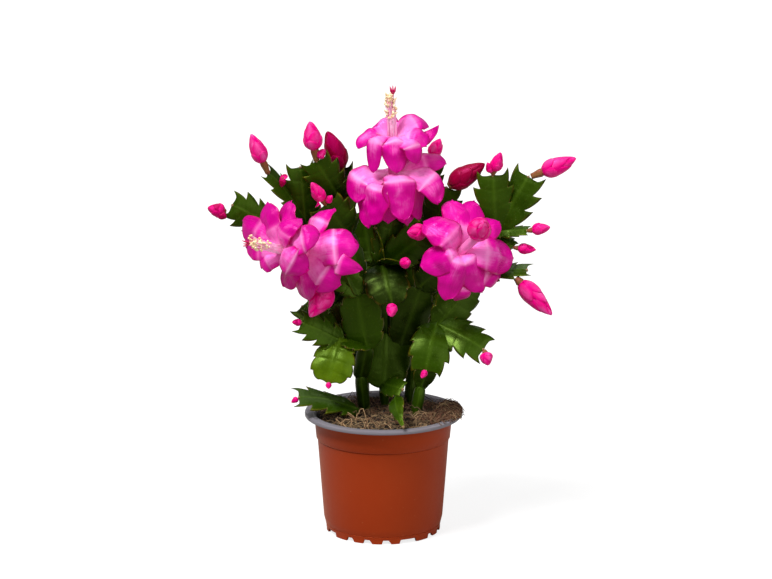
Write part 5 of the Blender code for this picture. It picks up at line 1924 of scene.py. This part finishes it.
@dataclass(frozen=True)
class NurseryPot:
    """The thin round pot: terracotta outside, grey inside and over the rim. Angles are in degrees."""

    sides: int = 264
    foot: float = 38.4
    height: float = 81.5
    notch_height: float = 2.6
    first_notch: float = 26
    notch_angles: tuple[float, ...] = (0, 29, 48, 67)
    notch_spans: tuple[float, ...] = (18, 8, 8, 8)
    floor: Pair = (4.6, 3)
    holes: int = 5
    hole_sides: int = 16
    hole_radius: float = 4
    hole_reach: float = 24

    def foot_edge(self, degrees: float) -> float:
        """Give the height of the foot's lower edge, which is 0, or more in a notch.

        Args:
            degrees: The angle round the pot.

        Returns:
            The height there.
        """
        best = 0.0
        for middle, span in zip(self.notch_angles, self.notch_spans):
            off = abs((degrees - self.first_notch - middle + 45) % 90 - 45)
            outer = span / 2 + 0.4
            inner = span / 2 - 0.8
            best = max(best, self.notch_height * limited((outer - off) / (outer - inner)))
        return best

    def ring(self, draft: MeshDraft, radius: float, z: float) -> list[int]:
        """Add a ring of points that stays above the notches.

        Args:
            draft: The pot.
            radius: The ring's radius.
            z: Its height outside the notches.

        Returns:
            The points' numbers.
        """
        row = []
        for k in range(self.sides):
            degrees = 360 * k / self.sides
            place = polar(radius, math.radians(degrees), max(z, self.foot_edge(degrees)))
            row.append(draft.point(place, (k / self.sides, place[2] / self.height), (0.5, 0)))
        return row

    def build(self) -> None:
        """Make the pot as one closed body with drain holes in its floor."""
        outside = (
            (self.foot, 0.0), (38.5, 3.2), (38.85, 4.7), (38.55, 4.95), (38.9, 5.2), (39.4, 7),
            (40, 9.6), (42, 36), (44, 63), (44.05, 63.35), (43.8, 63.55), (44.5, 63.8),
            (44.9, 64.3), (45.5, 71), (46.1, 77.4), (46.35, 78), (46.9, 78.4), (51.6, 78.9),
        )
        lining = (
            (52.3, 79), (52.5, 79.3), (52.55, 80.4), (52.4, 81.1), (51.9, 81.45),
            (50, 81.5), (47.6, 81.45), (46.8, 81.2), (46.2, 80.6), (45.5, 79.3),
            (44.6, 72), (41, 36), (38.1, 5.2), (37.6, 4.7), (36.6, 4.6),
        )
        under = ((36.6, 3), (36.7, 2.8), (36.8, 0))
        draft = MeshDraft()
        rows = [self.ring(draft, *place) for place in outside + lining]
        for index, (low, high) in enumerate(zip(rows, rows[1:])):
            draft.bridge(low, high, slot=int(index >= len(outside) - 1))
        rings = [self.ring(draft, *place) for place in under]
        draft.loft([*rings, rows[0]])
        self.add_floor(draft, rows[-1], rings[0])
        pot = draft.build("nursery_pot", [TERRACOTTA, GREY], Slot.POT, ["pot"])
        pot.data.set_sharp_from_angle(angle=math.radians(38))

    def add_floor(self, draft: MeshDraft, above: Row, below: Row) -> None:
        """Add the floor between the lining and the foot ring, with its round drain holes.

        Args:
            draft: The pot.
            above: The lining's last row.
            below: The first row inside the foot ring.
        """
        edges = []
        for z, rim, slot in zip(self.floor, (above, below), (1, 0)):
            cage = bmesh.new()
            outline = [cage.verts.new((*draft.points[k].xy, 0)) for k in rim]
            numbers = dict(zip(outline, rim))
            loops = [outline]
            for hole in range(self.holes):
                cx, cy, _ = polar(self.hole_reach, math.radians(36 + 72 * hole))
                corners = [
                    (cx + self.hole_radius * math.cos(a), cy + self.hole_radius * math.sin(a), 0)
                    for a in around(self.hole_sides)
                ]
                loops.append([cage.verts.new(corner) for corner in corners])
            lines = [cage.edges.new(pair) for loop in loops for pair in zip(loop, loop[1:] + loop[:1])]
            made = bmesh.ops.triangle_fill(cage, use_beauty=True, use_dissolve=False, edges=lines)
            for vertex in (vertex for loop in loops[1:] for vertex in loop):
                numbers[vertex] = draft.point((*vertex.co.xy, z), (0.5, 0), (0.5, 0))
            for item in made["geom"]:
                if isinstance(item, bmesh.types.BMFace):
                    draft.face([numbers[vertex] for vertex in item.verts], slot)
            edges.append([[numbers[vertex] for vertex in loop] for loop in loops[1:]])
            cage.free()
        for high, low in zip(*edges):
            draft.bridge(low, high)


# The span and tint of points whose place along their part doesn't matter
PLAIN = ((0.5, 0.5), (0.5, 0))
# How far from the axis the chips and the fibres on the peat start, and how many points a fibre has
CHIP_REACH = 43
FIBRE_POINTS = 10


@dataclass(frozen=True)
class FibrousSoil:
    """The peat, its chips and fibres, and the root mat that creeps over the rim at the right."""

    edge_z: float = 78.4
    crown_z: float = 80.2
    radius: float = 44.3
    fibres: int = 1150
    mat_fibres: int = 560
    chips: int = 380
    sides: int = 200
    rings: int = 46
    mat_size: tuple[int, int] = (25, 15)

    def surface(self, x: float, y: float) -> float:
        """Give the height of the peat.

        Args:
            x: How far to the right of the pot's axis.
            y: How far behind it.

        Returns:
            The height there.
        """
        reach = math.hypot(x, y) / self.radius
        spot = Vector((x, y, 0))
        lumps = noise.fractal(spot * 0.15, 0.8, 2.1, 5) * 1.9
        fine = noise.noise(spot * 0.9) * 0.45
        return self.crown_z - (self.crown_z - self.edge_z) * reach * reach + lumps + fine

    def mat_surface(self, x: float, y: float) -> float:
        """Give the height of the root mat, or of the peat where there is no mat.

        Args:
            x: How far to the right of the pot's axis.
            y: How far behind it.

        Returns:
            The height there.
        """
        turn = math.degrees(math.atan2(x, -y))
        reach = math.hypot(x, y)
        inside = reach < self.radius
        swell = smooth(56, 74, turn) * (1 - smooth(100, 116, turn))
        hump = smooth(30, 42, reach) * (1 - smooth(51.5, 55.5, reach))
        ground = self.surface(x, y) if inside else 81.6 - 0.45 * max(reach - 50.5, 0)
        return ground + swell * hump * (4.3 if inside else 1.0)

    def build(self) -> None:
        """Make the peat, the chips and the fibres."""
        self.build_peat()
        chance = random.Random("fibres")
        draft = MeshDraft()
        for _ in range(self.fibres):
            radius = CHIP_REACH * math.sqrt(chance.random())
            self.add_fibre(draft, chance, radius, chance.uniform(0, math.tau), False)
        for _ in range(self.mat_fibres):
            radius = chance.uniform(33, 52.5)
            self.add_fibre(draft, chance, radius, math.radians(chance.uniform(58, 113)), True)
        draft.build("peat_fibres", [FIBRE], Slot.SOIL)
        self.build_chips(random.Random("chips"))

    def build_peat(self) -> None:
        """Make the body of peat with its rough top, and the root mat's body."""
        draft = MeshDraft()
        rows = []
        for radius, z in ((37.2, 5), (40.4, 40), (43.8, 74)):
            rows.append([draft.point(polar(radius, a, z), *PLAIN) for a in around(self.sides)])
        for step in range(self.rings):
            radius = self.radius * (1 - step / self.rings)
            spots = [polar(radius, angle)[:2] for angle in around(self.sides)]
            rows.append([draft.point((*spot, self.surface(*spot)), *PLAIN) for spot in spots])
        draft.loft(rows)
        draft.plug(rows, ((0, 0, 5), *PLAIN), ((0, 0, self.surface(0, 0)), *PLAIN))
        draft.skin(self.mat_lines())
        draft.build("peat_body", [PEAT], Slot.SOIL, ["soil"])

    def mat_lines(self) -> Iterator[SkinLine]:
        """Draw the root mat's body.

        Yields:
            Its lines of points, from the pot's middle outwards.
        """
        rows, columns = (count - 1 for count in self.mat_size)
        for row in range(rows + 1):
            ragged = noise.noise(Vector((row * 0.9, 2.5, 0.0))) * 1.6
            line = []
            for column in range(columns + 1):
                reach = 33 + 20.6 * column / columns
                reach -= (column / columns) ** 2 * (3.5 * abs(row / (rows / 2) - 1) ** 3 + 0.8 + ragged)
                x, y, _ = polar(reach, math.radians(57 + 58 * row / rows))
                lump = noise.fractal(Vector((x, y, 7)) * 0.35, 0.8, 2.2, 4) * 1.5
                edge = smooth(0, 0.12, row / rows) * (1 - smooth(0.88, 1, row / rows))
                edge *= 1 - smooth(0.9, 1, column / columns)
                z = self.mat_surface(x, y) - 0.9 + lump * edge
                line.append(((x, y, z), (x, y, z - 0.8), *PLAIN))
            yield line

    def add_fibre(
        self, draft: MeshDraft, chance: random.Random, radius: float, turn: float, mat: bool
    ) -> None:
        """Add one fibre that wanders over the surface.

        Args:
            draft: The piece that it joins.
            chance: Random numbers.
            radius: How far from the pot's axis its middle is.
            turn: Its angle round the pot.
            mat: Whether it belongs to the root mat.
        """
        x, y, _ = polar(radius, turn)
        heading = chance.uniform(0, math.tau)
        curl = chance.gauss(0, 0.22)
        coarse = chance.random() < 0.1
        loop = not mat and chance.random() < 0.06
        step = chance.uniform(0.9, 2.6)
        lift = chance.uniform(0.05, 2.6 if mat else 1.4) + loop * chance.uniform(1.5, 5.5)
        limit = 53.2 + chance.random() ** 2 * 2.2 if mat else 43.4
        path = []
        for k in range(FIBRE_POINTS):
            arch = math.sin(math.pi * k / (FIBRE_POINTS - 1)) * lift * chance.uniform(0.7, 1.2)
            path.append(Vector((x, y, self.mat_surface(x, y) + arch + 0.05)))
            heading += curl + chance.gauss(0, 0.34)
            ahead = self.step_on(x, y, step, heading)
            if math.hypot(*ahead) > limit:
                heading += math.pi / 2
                ahead = self.step_on(x, y, step * 0.5, heading)
                if math.hypot(*ahead) > limit:
                    ahead = (x * 0.985, y * 0.985)
            x, y = ahead
        bold = coarse or loop or chance.random() < 0.2
        wide = chance.uniform(0.16, 0.32) if bold else chance.uniform(0.07, 0.16)
        front = smooth(-24, 26, -y - 0.3 * x)
        pale = chance.betavariate(1.6, 1) if bold else chance.betavariate(0.7, 1.8)
        tone = pale * (0.7 if mat else 0.25 + 0.75 * front)
        if mat:
            kind = chance.betavariate(0.9, 1)
        else:
            kind = chance.random() ** 2 * (0.9 if loop else 0.9 * (1 - front))
        radii = [wide * 0.5, *[wide] * (FIBRE_POINTS - 2), wide * 0.5]
        draft.tube(path, radii, 5, (tone, kind), chance.uniform(0.5, 1), UP)

    @staticmethod
    def step_on(x: float, y: float, step: float, heading: float) -> Pair:
        """The place a step further in a direction."""
        return (x + step * math.cos(heading), y + step * math.sin(heading))

    def build_chips(self, chance: random.Random) -> None:
        """Make the crumbs and bark chips that lie on the peat.

        Args:
            chance: Random numbers.
        """
        draft = MeshDraft()
        cage = bmesh.new()
        bmesh.ops.create_icosphere(cage, subdivisions=1, radius=1)
        ball = [vertex.co.copy() for vertex in cage.verts]
        faces = [[vertex.index for vertex in face.verts] for face in cage.faces]
        cage.free()
        for _ in range(self.chips):
            x, y, _ = polar(CHIP_REACH * math.sqrt(chance.random()), chance.uniform(0, math.tau))
            size = chance.uniform(0.4, 1.5)
            flat = Vector((size * chance.uniform(0.7, 1.6), size, size * chance.uniform(0.3, 0.8)))
            spin = chance.uniform(0, math.pi)
            cos, sin = math.cos(spin), math.sin(spin)
            middle = Vector((x, y, self.surface(x, y) + size * 0.15))
            tint = (chance.betavariate(1, 2.2), chance.random() * 0.8)
            base = len(draft.points)
            for place in ball:
                rough = 1 + noise.noise(place * 1.3 + middle) * 0.55
                px, py, pz = (part * wide * rough for part, wide in zip(place, flat))
                turned = Vector((px * cos - py * sin, px * sin + py * cos, pz))
                draft.point(middle + turned, PLAIN[0], tint)
            for face in faces:
                draft.face([base + k for k in face])
        draft.build("peat_chips", [FIBRE], Slot.SOIL)


# ---- studio


@dataclass(frozen=True)
class Studio:
    """The pale floor, the soft lights and the camera. Lengths here are metres, and angles are degrees."""

    distance: float = 1.6
    height: float = 0.5223
    pitch: float = 12.588
    lens: float = 115.4
    shift: Pair = (2.8 / 772, -0.87 / 772)
    # The lights as (name, side and height that it comes from, softness, power)
    lights: tuple[tuple[str, Pair, float, float], ...] = (
        ("key_light", (-48, 58), 24, 3.65),
        ("fill_light", (38, 24), 60, 1.3),
        ("back_light", (165, 60), 40, 0.6),
    )
    floor_half: float = 30.0
    floor_drop: float = 0.0002

    def build(self) -> None:
        """Make the floor, the lights, the sky and the camera."""
        self.build_floor()
        for light in self.lights:
            self.add_light(*light)
        self.build_sky()
        bpy.context.scene.view_settings.view_transform = "Standard"
        lens = bpy.data.cameras.new("view")
        lens.lens = self.lens
        lens.sensor_width = 36
        lens.shift_x, lens.shift_y = self.shift
        camera = bpy.data.objects.new("view", lens)
        camera.location = pot_axis() + Vector((0, -self.distance, self.height))
        camera.rotation_euler = (math.radians(90 - self.pitch), 0, 0)
        bpy.context.scene.collection.objects.link(camera)
        bpy.context.scene.camera = camera

    def build_sky(self) -> None:
        """Make a dim even sky that looks white behind the plant."""
        world = bpy.data.worlds.new("soft_sky")
        world.use_nodes = True
        graph = Graph(world.node_tree, world.node_tree.nodes["Background"])
        graph.finish(Color=WHITE, Strength=0.15)
        bright = graph.add("Background", Color=WHITE, Strength=1.0)
        seen = graph.add("LightPath").outputs["Is Camera Ray"]
        both = graph.add("MixShader", _0=seen, _1=graph.core.outputs[0], _2=bright.outputs[0])
        graph.feed(world.node_tree.nodes["World Output"], Surface=both.outputs[0])
        bpy.context.scene.world = world

    def build_floor(self) -> None:
        """Make the floor."""
        mesh = bpy.data.meshes.new("floor")
        half = self.floor_half
        corners = [(-half, -half, 0), (half, -half, 0), (half, half, 0), (-half, half, 0)]
        mesh.from_pydata(corners, [], [(0, 1, 2, 3)])
        mesh.materials.append(FLOOR.material())
        floor = bpy.data.objects.new("floor", mesh)
        floor.location.z = -self.floor_drop
        bpy.context.scene.collection.objects.link(floor)

    @staticmethod
    def add_light(name: str, aim: Pair, softness: float, power: float) -> None:
        """Add a wide soft light.

        Args:
            name: The light's name.
            aim: The side that it comes from, in degrees to the right of the front, and its height in degrees.
            softness: How wide it looks, in degrees.
            power: Its power, in watts a square metre.
        """
        lamp = bpy.data.lights.new(name, "SUN")
        lamp.energy = power
        lamp.angle = math.radians(softness)
        light = bpy.data.objects.new(name, lamp)
        turn, climb = (math.radians(part) for part in aim)
        place = Vector((math.sin(turn) * math.cos(climb), -math.cos(turn) * math.cos(climb), math.sin(climb)))
        light.location = pot_axis() + place
        light.rotation_euler = (-place).to_track_quat("-Z", "Y").to_euler()
        bpy.context.scene.collection.objects.link(light)


def main() -> None:
    """Build every piece in turn."""
    logging.basicConfig(level=logging.INFO, format="%(message)s")
    for part in (Studio(), NurseryPot(), FibrousSoil(), *PLANTS, *BLOOMS, *BUDS):
        part.build()


if __name__ == "__main__":
    main()
